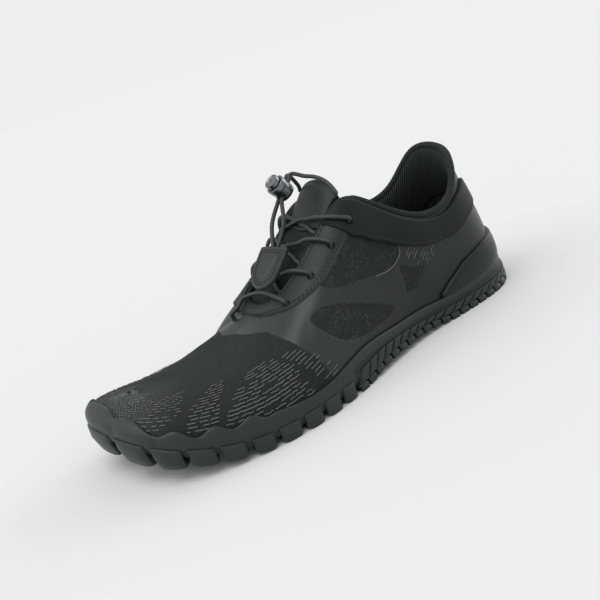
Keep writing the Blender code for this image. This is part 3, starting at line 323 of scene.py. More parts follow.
def rim_values(stations, sides):
    """Rim in plan and over the underside, its dip and the pulls of the section's curve, for each place."""
    lateral = sides[:, None] > 0
    own = np.where(lateral, RIM[1](stations), RIM[-1](stations))
    other = np.where(lateral, RIM[-1](stations), RIM[1](stations))
    start = np.where(sides > 0, THROAT_ROUND[1], THROAT_ROUND[-1])
    at_start = np.where(sides > 0, RIM[1](THROAT_ROUND[1])[2], RIM[-1](THROAT_ROUND[-1])[2])
    run = np.clip((stations - start) / (THROAT_END - start), 0.0, 1.0)
    closing = at_start * (1.0 - run ** THROAT_POWER) ** (1.0 / THROAT_POWER)
    offset = np.where(stations > start, closing, own[:, 2])
    height = own[:, 3] + (other[:, 3] - own[:, 3]) / 2 * run
    return own[:, 0], own[:, 1] + offset, height, own[:, 4], own[:, 5], own[:, 6]


def underside(x):
    """Height of the sole's lowest surface, without the arch; x is from the heel's edge."""
    start = 0.743 * LENGTH
    toe = np.clip((x - start) / (LENGTH - start), 0.0, 1.2)
    heel = np.maximum(1.0 - x / (0.08 * LENGTH), 0.0)
    return TOE_SPRING * toe ** 1.8 + HEEL_BEVEL * heel ** 2


def tread(x):
    """Height of the tread's underside, with the relief under the arch; x is from the heel's edge."""
    share = (x / LENGTH - 0.39) / 0.15
    return underside(x) + ARCH_RISE * np.maximum(0.0, 1.0 - share ** 4) ** 2


def rim_points(stations, sides):
    x, y, height = rim_values(stations, sides)[:3]
    return np.stack([x, y, underside(x) + height], axis=1)


def columns(places):
    """Outer face from feather line to rim at each place, as even samples by arc length, and the lengths."""
    places = round_ring(places)
    sides = np.where(places >= 0, 1, -1)
    stations = np.abs(places)
    plan = FOOT(places)
    foot = np.stack([plan[:, 0], plan[:, 1], underside(plan[:, 0]) + FEATHER_RISE], axis=1)
    rim = rim_points(stations, sides)
    out = foot - rim
    out[:, 2] = 0.0
    out /= np.linalg.norm(out, axis=1, keepdims=True)
    chord = np.linalg.norm(foot - rim, axis=1, keepdims=True)
    lean = np.radians(plan[:, 2:3])
    dip, foot_pull, rim_pull = (values[:, None] for values in rim_values(stations, sides)[3:])
    near = np.minimum(stations + 0.02, LAST)
    ahead = rim_points(near, sides)
    behind = rim_points(near - 0.04, sides)
    slope = (ahead[:, 2] - behind[:, 2]) / (ahead[:, 0] - behind[:, 0])
    blend = np.clip(stations - RIDGE_BLEND, 0.0, 1.0)[:, None]
    dip = np.radians(dip) * (1 - blend) + np.arctan(-slope * out[:, 0])[:, None] * blend
    up = np.array([0.0, 0.0, 1.0])
    low = foot + chord * foot_pull * (up * np.cos(lean) + out * np.sin(lean))
    high = rim + chord * rim_pull * (out * np.cos(dip) - up * np.sin(dip))
    t = np.linspace(0, 1, SAMPLES + 1)[None, :, None]
    raw = (foot[:, None] * (1 - t) ** 3 + 3 * low[:, None] * t * (1 - t) ** 2
           + 3 * high[:, None] * t * t * (1 - t) + rim[:, None] * t ** 3)
    steps = np.linalg.norm(np.diff(raw, axis=1), axis=2)
    run = np.concatenate([np.zeros((len(places), 1)), np.cumsum(steps, axis=1)], axis=1)
    even = np.empty_like(raw)
    for i, line in enumerate(run):
        spots = np.linspace(0, line[-1], SAMPLES + 1)
        for k in range(3):
            even[i, :, k] = np.interp(spots, line, raw[i, :, k])
    even[:, :, 0] -= REST_X
    return even, run[:, -1]


def read_columns(samples, shares):
    """Points at shares of the way up columns; a row of shares for each column."""
    spots = np.clip(shares, 0.0, 1.0) * SAMPLES
    i = np.minimum(spots.astype(int), SAMPLES - 1)
    part = (spots - i)[..., None]
    lines = np.arange(len(samples))[:, None]
    return samples[lines, i] * (1 - part) + samples[lines, i + 1] * part


def normals(places, shares):
    """Outward normals of the outer face."""
    step = 0.03
    along = read_columns(columns(places + step)[0], shares) - read_columns(columns(places - step)[0], shares)
    own = columns(places)[0]
    rise = (read_columns(own, np.minimum(shares + 0.02, 1.0))
            - read_columns(own, np.maximum(shares - 0.02, 0.0)))
    return unit(np.cross(rise, along))


def face_normals(places, shares):
    """Outward normals, shared by both sides along the closed ridge."""
    own = normals(places, shares)
    stations = np.abs(round_ring(places))
    both = normals(places, np.full_like(shares, 0.97)) + normals(-places, np.full_like(shares, 0.97))
    both /= np.linalg.norm(both, axis=2, keepdims=True)
    ridge = (stations[:, None] >= THROAT_END) & (shares > 0.985)
    return np.where(ridge[..., None], both, own)


def skin(places, shares, lifts=0.0):
    """Points on the outer face, lifted along its normals; a row of shares for each place."""
    places = np.atleast_1d(np.asarray(places, float))
    shares = np.broadcast_to(np.asarray(shares, float), (len(places), np.shape(shares)[-1]))
    points = read_columns(columns(places)[0], shares)
    lifts = np.broadcast_to(lifts, shares.shape)
    if np.any(lifts != 0.0):
        points = points + face_normals(places, shares) * lifts[..., None]
    return points


def skin_line(places, shares):
    """Points on the outer face, one share for each place."""
    return skin(places, np.reshape(shares, (-1, 1)))[:, 0]


def share_line(places, shares, lift):
    """Points with normals along a line on the outer face, lifted."""
    ups = face_normals(places, shares[:, None])[:, 0]
    return skin_line(places, shares) + ups * np.reshape(lift, (-1, 1)), ups


def spot(place, share, lift=0.0):
    """One point on or over the outer face."""
    return Vector(skin([place], [share], lift)[0, 0])


def column_length(places):
    return columns(np.atleast_1d(np.asarray(places, float)))[1]


def from_rim(places, distances):
    """Share of the way up, for a distance from the rim along the outer face."""
    return 1.0 - distances / column_length(places)


def share_at_height(places, heights):
    """Share of the way up where the outer face reaches a height."""
    samples, _ = columns(places)
    levels = np.maximum.accumulate(samples[:, :, 2], axis=1)
    shares = np.linspace(0, 1, SAMPLES + 1)
    return np.array([np.interp(height, level, shares) for height, level in zip(heights, levels)])


def table_reader(rows, column, scale=1.0):
    """A reader of one column of a table, straight between its rows."""
    knots = [row[0] for row in rows]
    values = [row[column] * scale for row in rows]
    return lambda places: np.interp(np.abs(places), knots, values)


# Metres along the shoe and up the wall, for weaves, marks and stitches
EVERY_PLACE = np.linspace(-LAST, LAST, 961)
MIDDLE_LINE = skin(EVERY_PLACE, [0.45])[:, 0]
MIDDLE_RUN = np.concatenate(([0.0], np.cumsum(np.linalg.norm(np.diff(MIDDLE_LINE, axis=0), axis=1))))
MIDDLE_RUN -= np.interp(0.0, EVERY_PLACE, MIDDLE_RUN)
EVERY_LENGTH = column_length(EVERY_PLACE)


def run_at(places):
    return np.interp(places, EVERY_PLACE, MIDDLE_RUN)


def place_at(runs):
    return np.interp(runs, MIDDLE_RUN, EVERY_PLACE)


def cloth_uv(places, shares):
    """Metres along and up for places and shares."""
    up = shares * np.interp(places, EVERY_PLACE, EVERY_LENGTH)[:, None]
    return np.stack([np.broadcast_to(run_at(places)[:, None], shares.shape), up], axis=2)


# Curves and meshes

def bell(values, centre, width):
    """Smooth hump of height one round a centre."""
    return np.exp(-((values - centre) / width) ** 2)


def quarter_round(shares):
    """Height of a rounded edge from 0 at its foot to 1, held past there."""
    return np.sqrt(np.clip(1 - (1 - np.minimum(shares, 1.0)) ** 2, 0.0, 1.0))


def eased(values, window=9, axis=0):
    """Values with their corners eased along an axis."""
    kernel = np.hanning(window + 2)[1:-1]
    kernel /= kernel.sum()
    widths = [(0, 0)] * values.ndim
    widths[axis] = (window // 2, window // 2)
    padded = np.pad(values, widths, mode="edge")
    return np.apply_along_axis(np.convolve, axis, padded, kernel, mode="valid")


def hermite(knots, values, slopes, at):
    """Smooth curve through values with slopes at knots, read between them."""
    i = np.clip(np.searchsorted(knots, at, side="right") - 1, 0, len(knots) - 2)
    lines = np.shape(at) + (1,) * (values.ndim - 1)
    span = (knots[i + 1] - knots[i]).reshape(lines)
    u = (at - knots[i]).reshape(lines) / span
    return (values[i] * (1 + 2 * u) * (1 - u) ** 2 + slopes[i] * span * u * (1 - u) ** 2
            + values[i + 1] * u * u * (3 - 2 * u) + slopes[i + 1] * span * u * u * (u - 1))


def grid_uv(along, across):
    """Coordinates of a grid from distances along its rows and across them."""
    return np.stack(np.broadcast_arrays(np.reshape(along, (-1, 1)), across), axis=2)


def as_mesh(name, bm):
    """A mesh from a bmesh, which is freed."""
    mesh = bpy.data.meshes.new(name)
    bm.to_mesh(mesh)
    bm.free()
    return mesh


def pour(mesh, bm):
    """Add a mesh to a bmesh and drop the mesh."""
    bm.from_mesh(mesh)
    bpy.data.meshes.remove(mesh)


def in_scene(name, data):
    """A new object with a mesh, light or camera, in the scene."""
    made = bpy.data.objects.new(name, data)
    bpy.context.scene.collection.objects.link(made)
    return made


def shade_smooth(bm):
    for face in bm.faces:
        face.smooth = True


def laid_grid(name, points, uvs, marks=()):
    """A mesh grid laid on rows of points, with a UV map in metres and named marks."""
    rows, count = points.shape[:2]
    bm = bmesh.new()
    bmesh.ops.create_grid(bm, x_segments=count - 1, y_segments=rows - 1, size=0.5)
    mesh = as_mesh(name, bm)
    mesh.vertices.foreach_set("co", np.ascontiguousarray(points, dtype=np.float32).ravel())
    corners = np.empty(len(mesh.loops), dtype=np.int32)
    mesh.loops.foreach_get("vertex_index", corners)
    layer = mesh.uv_layers.new(name="UVMap")
    layer.data.foreach_set("uv", uvs.reshape(-1, 2)[corners].astype(np.float32).ravel())
    for key, values in dict(marks).items():
        attribute = mesh.attributes.new(key, "FLOAT", "POINT")
        attribute.data.foreach_set("value", values.astype(np.float32).ravel())
    return mesh


def joined(meshes, weld=0.00003, cap=False, outwards=True):
    """One mesh from several, its doubles merged and its faces turned outwards."""
    bm = bmesh.new()
    for mesh in meshes:
        pour(mesh, bm)
    bmesh.ops.remove_doubles(bm, verts=bm.verts, dist=weld)
    bmesh.ops.dissolve_degenerate(bm, edges=bm.edges, dist=weld / 3)
    if cap:
        open_edges = [edge for edge in bm.edges if edge.is_boundary]
        bmesh.ops.holes_fill(bm, edges=open_edges, sides=0)
    if outwards:
        bmesh.ops.recalc_face_normals(bm, faces=bm.faces)
    shade_smooth(bm)
    return bm


def piece(name, bm, finish, body="shoe"):
    """An object from a bmesh with one or more materials, riding on its body."""
    made = in_scene(name, as_mesh(name, bm))
    for material in finish if isinstance(finish, (list, tuple)) else [finish]:
        made.data.materials.append(material)
    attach(made, body)
    return made


def round_edges(bm, angle, offset, steps):
    """Round the edges that turn by more than an angle."""
    sharp = [edge for edge in bm.edges if edge.calc_face_angle(0.0) > math.radians(angle)]
    bmesh.ops.bevel(bm, geom=sharp, offset=offset, segments=steps, profile=0.5, affect="EDGES", material=-1,
                    clamp_overlap=True)
    shade_smooth(bm)


def apply_modifiers(made):
    graph = bpy.context.evaluated_depsgraph_get()
    mesh = bpy.data.meshes.new_from_object(made.evaluated_get(graph))
    made.modifiers.clear()
    made.data = mesh


def smooth_path(points, count):
    """Evenly spaced points on the smooth curve through a few points."""
    rows = np.array([tuple(point) for point in points])
    steps = np.linalg.norm(np.diff(rows, axis=0), axis=1)
    knots = np.concatenate(([0.0], np.cumsum(np.sqrt(steps))))
    slopes = np.gradient(rows, knots, axis=0)
    return even_path(hermite(knots, rows, slopes, np.linspace(0.0, knots[-1], 12 * len(rows))), count)


def path_run(points):
    return np.concatenate(([0.0], np.cumsum(np.linalg.norm(np.diff(points, axis=0), axis=1))))


def even_path(points, count):
    run = path_run(points)
    places = np.linspace(0.0, run[-1], count)
    return np.stack([np.interp(places, run, points[:, k]) for k in range(3)], axis=1)


def read_at(at, run, rows):
    """One vector of rows, read at a distance along a path."""
    return Vector([float(np.interp(at, run, rows[:, i])) for i in range(3)])


def unit(vectors):
    return vectors / np.maximum(np.linalg.norm(vectors, axis=-1, keepdims=True), 1e-12)


def rings(name, centres, radii, across, over, sides, girth):
    """A mesh of rings round a path; over is the way up at each ring, and girth the radius of the UV map."""
    angles = np.linspace(0.0, 2 * math.pi, sides + 1)
    turned = np.cos(angles)[None, :, None] * across[:, None] + np.sin(angles)[None, :, None] * over[:, None]
    points = centres[:, None] + radii[:, None, None] * turned
    return laid_grid(name, points, grid_uv(path_run(centres), angles * girth))


def carried_across(ways):
    """Ways across a path, turned as little as can be from point to point."""
    across = [np.cross(ways[0], (0.0, 0.0, 1.0))]
    for way in ways:
        across.append(unit(across[-1] - way * np.dot(across[-1], way)))
    return np.array(across[1:])


def cord_tube(name, points, radius=LACE_RADIUS):
    """A mesh tube round a path, with round ends."""
    first = unit(points[1] - points[0])
    last = unit(points[-1] - points[-2])
    turns = np.radians((80, 55, 28))
    head = [points[0] + first * radius * (1 - math.sin(turn)) for turn in turns]
    tail = [points[-1] - last * radius * (1 - math.sin(turn)) for turn in turns[::-1]]
    inside = path_run(points)
    keep = (inside > radius) & (inside < inside[-1] - radius)
    points = np.concatenate([head, points[keep], tail])
    ends = radius * np.cos(turns)
    radii = np.concatenate([ends, np.full(keep.sum(), radius), ends[::-1]])
    ways = unit(np.gradient(points, axis=0))
    across = carried_across(ways)
    return rings(name, points, radii, across, np.cross(across, ways), 14, radius)


def yarn_tube(points, ups, radius):
    """A slim mesh tube along a path, flattened on the face below it."""
    ways = unit(np.gradient(points, axis=0))
    across = unit(np.cross(ways, ups))
    over = 0.6 * np.cross(across, ways)
    return rings("mark", points, np.full(len(points), radius), across, over, 5, radius)


def thread_stitches(name, runs, length=1.9 * MM, gap=0.9 * MM, width=0.85 * MM, height=0.7 * MM):
    """Short thread stitches along runs of points with their normals."""
    whole = bmesh.new()
    for points, ups in runs:
        run = path_run(points)
        count = max(1, int(run[-1] / (length + gap)))
        pitch = run[-1] / count
        part = bmesh.new()
        for k in range(count):
            ends = [read_at(at, run, points) for at in (k * pitch + gap / 2, (k + 1) * pitch - gap / 2)]
            up = read_at((k + 0.5) * pitch, run, ups)
            way = (ends[1] - ends[0]).normalized()
            up = (up - way * up.dot(way)).normalized()
            turn = Matrix((way.cross(up), up, way)).transposed()
            sizes = Matrix.Diagonal((width / 2, height / 2, (ends[1] - ends[0]).length / 2))
            place = Matrix.Translation((ends[0] + ends[1]) / 2) @ (turn @ sizes).to_4x4()
            bmesh.ops.create_uvsphere(part, u_segments=6, v_segments=4, radius=1.0, matrix=place)
        pour(as_mesh("stitches", part), whole)
    shade_smooth(whole)
    piece(name, whole, THREAD)


# Materials: tones of the finishes, in linear light
VAMP_KNIT = (0.0098, 0.0103, 0.0103)
KNIT_SPECK = (0.055, 0.055, 0.056)
TOE_YARN = (0.085, 0.086, 0.086)
SATIN_DARK = (0.0150, 0.0166, 0.0161)
SATIN_LIGHT = (0.0205, 0.0225, 0.0219)
# Painted shade: the film's darker tone towards the heel, where it faces away from the light
SATIN_PAINTED_SHADE = (0.0062, 0.0068, 0.0067)
RIB_HOLLOW = (0.004, 0.0043, 0.0043)
RIB_CREST = (0.036, 0.038, 0.038)
RUBBER_DARK = (0.0105, 0.0120, 0.0120)
RUBBER_LIGHT = (0.0150, 0.0166, 0.0166)
# Painted shade for the sole's grooves and for the cup behind its ribs
RUBBER_GROOVE_SHADE = (0.002, 0.0022, 0.0022)
CORD_HOLLOW = (0.007, 0.0073, 0.0073)
CORD_STRAND = (0.024, 0.025, 0.025)
METAL_DARK = (0.13, 0.135, 0.14)
METAL_LIGHT = (0.19, 0.195, 0.20)
# Patterns, in turns to the metre
KNIT_LOOPS = 300.0
KNIT_COURSES = 330.0
KNIT_FIBRES = 1150.0
KNIT_SPECKS = 820.0
RIB_LINES = 230.0
CORD_STRANDS = 420.0
LEATHER_PORES = 1500.0
RUBBER_GRAIN = 1400.0
THREAD_TWIST = 900.0
RIB_TURN = math.radians(28)
BRAID_TURN = math.radians(38)


class Nodes:
    """Short calls for a material's nodes."""

    def __init__(self, name, colour, roughness, metallic=0.0, specular=0.5):
        self.material = bpy.data.materials.new(name)
        self.material.use_nodes = True
        self.tree = self.material.node_tree
        self.shader = self.tree.nodes["Principled BSDF"]
        self.shader.inputs["Base Color"].default_value = (*colour, 1.0)
        self.shader.inputs["Roughness"].default_value = roughness
        self.shader.inputs["Metallic"].default_value = metallic
        self.shader.inputs["Specular IOR Level"].default_value = specular
        self.place = self.tree.nodes.new("ShaderNodeTexCoord")

    def add(self, kind, inputs=(), **settings):
        node = self.tree.nodes.new("ShaderNode" + kind)
        for key, value in settings.items():
            setattr(node, key, value)
        for key, value in dict(inputs).items():
            if isinstance(value, bpy.types.NodeSocket):
                self.tree.links.new(value, node.inputs[key])
            else:
                node.inputs[key].default_value = value
        return node

    def math(self, operation, a, b=0.0):
        return self.add("Math", {0: a, 1: b}, operation=operation).outputs[0]

    def mark(self, name):
        return self.add("Attribute", attribute_name=name).outputs["Fac"]

    def cloth(self, turn=0.0):
        """Place on the piece's own UV map, turned."""
        place = self.place.outputs["UV"]
        return self.add("Mapping", {"Vector": place, "Rotation": (0.0, 0.0, turn)}).outputs[0]

    def noise(self, vector, scale, detail=3.0):
        node = self.add("TexNoise", {"Vector": vector, "Scale": scale, "Detail": detail, "Roughness": 0.55})
        return node.outputs[0]

    def wave(self, vector, scale, direction="X"):
        return self.add("TexWave", {"Vector": vector, "Scale": scale}, bands_direction=direction).outputs[1]

    def cells(self, vector, scale, randomness=1.0):
        node = self.add("TexVoronoi", {"Vector": vector, "Scale": scale, "Randomness": randomness})
        return node.outputs[0]

    def ramp(self, value, low, high, start=0.0, end=1.0):
        """Value from low to high as start to end, held at both."""
        ends = {0: value, 1: low, 2: high, 3: start, 4: end}
        return self.add("MapRange", ends, interpolation_type="SMOOTHSTEP").outputs[0]

    def mix(self, factor, a, b):
        node = self.tree.nodes.new("ShaderNodeMix")
        node.data_type = "RGBA"
        for index, value in ((0, factor), (6, a), (7, b)):
            if isinstance(value, bpy.types.NodeSocket):
                self.tree.links.new(value, node.inputs[index])
            elif index == 0:
                node.inputs[0].default_value = value
            else:
                node.inputs[index].default_value = (*value, 1.0)
        return node.outputs[2]

    def blend(self, factor, a, b):
        """Number between a and b."""
        node = self.add("Mix", {0: factor, 2: a, 3: b})
        return node.outputs[0]

    def colour(self, socket):
        self.tree.links.new(socket, self.shader.inputs["Base Color"])

    def rough(self, socket):
        self.tree.links.new(socket, self.shader.inputs["Roughness"])

    def bump(self, height, distance, strength=1.0):
        node = self.add("Bump", {"Height": height, "Distance": distance, "Strength": strength})
        self.tree.links.new(node.outputs[0], self.shader.inputs["Normal"])


def shades(colour, *factors):
    """A colour made darker or lighter by factors."""
    return [tuple(factor * part for part in colour) for factor in factors]


def upper_cloth():
    """Knit with a satin film over it; the film is cut away on the vamp and in its windows, and painted darker
    towards the heel as shade.
    """
    nodes = Nodes("upper_knit_and_film", (0.012, 0.013, 0.013), 0.85, specular=0.35)
    vector = nodes.cloth()
    loops = nodes.wave(vector, KNIT_LOOPS, "X")
    courses = nodes.wave(vector, KNIT_COURSES, "Y")
    fibres = nodes.math("MULTIPLY", nodes.cells(vector, KNIT_FIBRES, 0.55), 0.7)
    weave = nodes.math("ADD", nodes.math("MULTIPLY", loops, courses), fibres)
    film = nodes.ramp(nodes.mark("film"), -0.35 * MM, 0.35 * MM)
    window = nodes.ramp(nodes.mark("window"), -0.6 * MM, 0.6 * MM)
    speck = nodes.ramp(nodes.cells(vector, KNIT_SPECKS), 0.22, 0.45, 1.0, 0.0)
    patch = nodes.ramp(nodes.noise(vector, 120.0, 2.0), 0.38, 0.62)
    strength = nodes.math("ADD", nodes.math("MULTIPLY", window, 0.45), 0.25)
    dots = nodes.math("MULTIPLY", nodes.math("MULTIPLY", speck, patch), strength)
    knit = nodes.mix(dots, VAMP_KNIT, KNIT_SPECK)
    toe = nodes.math("MULTIPLY", nodes.mark("toe"), nodes.ramp(weave, 0.35, 1.1))
    knit = nodes.mix(toe, knit, TOE_YARN)
    satin = nodes.mix(nodes.ramp(nodes.noise(vector, 22.0), 0.30, 0.75), SATIN_DARK, SATIN_LIGHT)
    # Painted shade: the film turns darker towards the heel, following the front mark
    satin = nodes.mix(nodes.ramp(nodes.mark("front"), 0.0, 1.0), SATIN_PAINTED_SHADE, satin)
    nodes.colour(nodes.mix(film, knit, satin))
    faint = nodes.ramp(nodes.noise(vector, 900.0, 2.0), 0.3, 0.7, 0.33, 0.40)
    nodes.rough(nodes.blend(film, 0.88, faint))
    bare = nodes.math("SUBTRACT", 1.0, nodes.math("MULTIPLY", film, 0.93))
    height = nodes.math("ADD", nodes.math("MULTIPLY", weave, bare), nodes.math("MULTIPLY", film, 1.6))
    nodes.bump(height, 0.16 * MM, 0.9)
    return nodes.material


def knit_rib():
    """Ribbed knit of the collar's roll and lining."""
    nodes = Nodes("ribbed_knit", (0.020, 0.021, 0.021), 0.92, specular=0.3)
    vector = nodes.cloth(RIB_TURN)
    ribs = nodes.wave(vector, RIB_LINES)
    fine = nodes.math("MULTIPLY", nodes.cells(vector, 1300.0, 0.6), 0.4)
    nodes.colour(nodes.mix(nodes.ramp(ribs, 0.35, 0.95), RIB_HOLLOW, RIB_CREST))
    nodes.bump(nodes.math("ADD", ribs, fine), 0.35 * MM)
    return nodes.material


def smooth_leather(name, colour, roughness, grain=0.05, specular=0.36):
    """Even-grained leather, film or moulded shell, with a painted highlight along its rounded edges."""
    nodes = Nodes(name, colour, roughness, specular=specular)
    vector = nodes.place.outputs["Object"]
    cloud = nodes.noise(vector, 45.0)
    # Painted highlight: within about a millimetre of a panel's edge the colour is lightened towards 2.6 times
    # its tone
    dark, light, edge = shades(colour, 0.88, 1.14, 2.6)
    edge_highlight = nodes.math("MULTIPLY", nodes.ramp(nodes.mark("edge"), 0.2 * MM, 1.1 * MM, 1.0, 0.0), 0.8)
    nodes.colour(nodes.mix(edge_highlight, nodes.mix(nodes.ramp(cloud, 0.3, 0.72), dark, light), edge))
    nodes.rough(nodes.ramp(cloud, 0.25, 0.8, roughness - 0.04, roughness + 0.05))
    nodes.bump(nodes.cells(vector, LEATHER_PORES), grain * MM, 0.7)
    return nodes.material


def sole_rubber():
    """Moulded rubber: matt, with a faint mottle and painted shade in its grooves and behind its ribs."""
    nodes = Nodes("charcoal_rubber", (0.012, 0.0135, 0.0135), 0.5, specular=0.42)
    vector = nodes.place.outputs["Object"]
    cloud = nodes.noise(vector, 60.0, 4.0)
    base = nodes.mix(nodes.ramp(cloud, 0.3, 0.7), RUBBER_DARK, RUBBER_LIGHT)
    # Painted shade: the groove mark darkens the rows under the edge and behind the ribs
    nodes.colour(nodes.mix(nodes.mark("groove"), base, RUBBER_GROOVE_SHADE))
    nodes.rough(nodes.ramp(cloud, 0.25, 0.75, 0.40, 0.52))
    nodes.bump(nodes.noise(vector, RUBBER_GRAIN, 2.0), 0.03 * MM, 0.8)
    return nodes.material


def cord_braid():
    """Round elastic cord: a fine braid of crossing strands with some sheen."""
    nodes = Nodes("elastic_cord", (0.012, 0.0125, 0.0125), 0.46)
    one, other = (nodes.wave(nodes.cloth(turn), CORD_STRANDS) for turn in (BRAID_TURN, -BRAID_TURN))
    braid = nodes.math("MAXIMUM", one, other)
    nodes.colour(nodes.mix(nodes.ramp(braid, 0.35, 0.95), CORD_HOLLOW, CORD_STRAND))
    nodes.rough(nodes.ramp(braid, 0.2, 1.0, 0.6, 0.44))
    nodes.bump(braid, 0.09 * MM, 0.8)
    return nodes.material


def gunmetal():
    """Polished dark metal with a faint mottle."""
    nodes = Nodes("gunmetal", (0.16, 0.165, 0.17), 0.2, 1.0)
    cloud = nodes.noise(nodes.place.outputs["Object"], 500.0)
    nodes.colour(nodes.mix(nodes.ramp(cloud, 0.3, 0.7), METAL_DARK, METAL_LIGHT))
    nodes.rough(nodes.ramp(cloud, 0.25, 0.75, 0.16, 0.26))
    nodes.bump(cloud, 0.01 * MM, 0.5)
    return nodes.material


def plain_textile(name, dark, light, yarns_a_metre):
    """Woven textile with plain crossing yarns."""
    nodes = Nodes(name, dark, 0.9, specular=0.3)
    vector = nodes.cloth()
    along, across = (nodes.wave(vector, yarns_a_metre, direction) for direction in "XY")
    yarns = nodes.math("MULTIPLY", along, across)
    mottle = nodes.ramp(nodes.noise(vector, 700.0, 2.0), 0.3, 0.7)
    nodes.colour(nodes.mix(nodes.math("MULTIPLY", yarns, mottle), dark, light))
    nodes.bump(yarns, 0.16 * MM, 0.9)
    return nodes.material


def twisted_yarn(name, colour, roughness):
    """Sewing thread or raised yarn with its twist."""
    nodes = Nodes(name, colour, roughness)
    twist = nodes.wave(nodes.place.outputs["Object"], THREAD_TWIST, "DIAGONAL")
    nodes.colour(nodes.mix(twist, *shades(colour, 0.75, 1.25)))
    nodes.bump(twist, 0.03 * MM, 0.6)
    return nodes.material


UPPER_CLOTH = upper_cloth()
KNIT_RIB = knit_rib()
LEATHER = smooth_leather("smooth_leather", (0.0085, 0.0098, 0.0094), 0.50)
BAND_LEATHER = smooth_leather("collar_leather", (0.0042, 0.0047, 0.0046), 0.54, specular=0.22)
TAB_LEATHER = smooth_leather("tab_leather", (0.016, 0.0168, 0.0168), 0.44, 0.10)
GLOSS_LEATHER = smooth_leather("heel_film", (0.010, 0.0108, 0.0108), 0.25, 0.02, 0.5)
COUNTER_RUBBER = smooth_leather("counter_rubber", (0.0040, 0.0045, 0.0045), 0.36, 0.03, 0.30)
RUBBER = sole_rubber()
CORD = cord_braid()
METAL = gunmetal()
TONGUE_CLOTH = plain_textile("tongue_textile", (0.010, 0.0105, 0.0105), (0.042, 0.044, 0.044), 380.0)
INSOLE_CLOTH = plain_textile("insole_textile", (0.006, 0.006, 0.006), (0.020, 0.020, 0.020), 300.0)
THREAD = twisted_yarn("sewing_thread", (0.006, 0.0062, 0.0062), 0.7)
KNIT_MARK = twisted_yarn("raised_knit_yarn", (0.11, 0.111, 0.112), 0.75)


# Camera

def make_camera():
    """The camera; its ways back, right and up are kept for the lights."""
    turn, rise, roll = (math.radians(angle) for angle in (CAMERA_TURN, CAMERA_RISE, CAMERA_ROLL))
    back = Vector((math.sin(turn) * math.cos(rise), math.cos(turn) * math.cos(rise), math.sin(rise)))
    right = Vector((0, 0, 1)).cross(back).normalized()
    up = back.cross(right)
    rolled_right = right * math.cos(roll) - up * math.sin(roll)
    rolled_up = right * math.sin(roll) + up * math.cos(roll)
    camera = in_scene("camera", bpy.data.cameras.new("camera"))
    camera.data.lens = SENSOR * SCALE_AT_TARGET * CAMERA_DISTANCE / PICTURE
    camera.data.sensor_width = SENSOR
    camera.data.shift_x = (PICTURE / 2 - PICTURE_MIDDLE[0]) / PICTURE
    camera.data.shift_y = (PICTURE_MIDDLE[1] - PICTURE / 2) / PICTURE
    camera.data.clip_start = NEAR_CLIP
    turned = Matrix((rolled_right, rolled_up, back)).transposed().to_4x4()
    camera.matrix_world = Matrix.Translation(CAMERA_TARGET + back * CAMERA_DISTANCE) @ turned
    bpy.context.scene.camera = camera
    return back, rolled_right, rolled_up


VIEW_BACK, VIEW_RIGHT, VIEW_UP = make_camera()


# Routes of the laces, as in the part

def tongue_values(stations):
    """Tuck under the upper, lift and forward shift of the tongue's middle."""
    rows = sorted(TONGUE_ROWS)
    scales = (TONGUE_TUCK, TONGUE_RISE, TONGUE_RISE)
    return [table_reader(rows, i + 1, scale)(stations) for i, scale in enumerate(scales)]


def crown(stations, spots):
    """Outer face of the tongue between the rims; a row of spots from -1, medial rim, to +1, lateral rim."""
    stations = np.atleast_1d(np.asarray(stations, float))
    spots = np.asarray(spots, float)[None, :, None]
    _, lift, forward = tongue_values(stations)
    drop = -(WALL + TONGUE_GAP)
    edges = {side: skin(side * stations, [1.0, 0.98], drop) for side in (1, -1)}
    lateral, medial = edges[1][:, :1], edges[-1][:, :1]
    lateral_way = unit(lateral - edges[1][:, 1:])
    medial_way = unit(medial - edges[-1][:, 1:])
    span = np.linalg.norm(lateral - medial, axis=2, keepdims=True)
    t = (spots + 1) / 2
    h00 = 2 * t ** 3 - 3 * t ** 2 + 1
    h10 = t ** 3 - 2 * t ** 2 + t
    h01 = 3 * t ** 2 - 2 * t ** 3
    h11 = t ** 3 - t ** 2
    points = medial * h00 + medial_way * span * h10 + lateral * h01 - lateral_way * span * h11
    dome = np.sqrt(np.maximum(0.0, 1 - spots ** 2))
    shift = np.stack([forward, np.zeros_like(lift), lift], axis=1)[:, None]
    return points + shift * dome


def over_tongue(station, place, lift):
    """Point above the tongue's face by a lift."""
    step = 0.04
    here, after, before = crown(station, [place, min(place + step, 1.0), max(place - step, -1.0)])[0]
    along = crown(station + step, [place])[0, 0] - here
    up = unit(np.cross(along, after - before))
    return Vector(here + up * lift)


def throat_edge():
    """The throat's edge from the lateral side round its front to the medial side."""
    run = np.sin(np.linspace(0, math.pi / 2, 160))
    stations = EYESTAY_START - 1.2 + (THROAT_END - EYESTAY_START + 1.2) * run
    lateral = skin(stations, [1.0])[:, 0]
    medial = skin(-stations, [1.0])[:, 0]
    return np.concatenate([lateral, medial[::-1]])


THROAT = throat_edge()


def share_at_reach(place, distance):
    """Share of the way up where the outer face lies a distance from the throat's edge."""
    points = columns(np.array([place]))[0][0]
    reach = np.array([np.linalg.norm(THROAT - point, axis=1).min() for point in points])
    for i in range(SAMPLES, 0, -1):
        if reach[i - 1] >= distance:
            part = (distance - reach[i]) / (reach[i - 1] - reach[i])
            return (i - max(part, 0.0)) / SAMPLES
    return 1.0


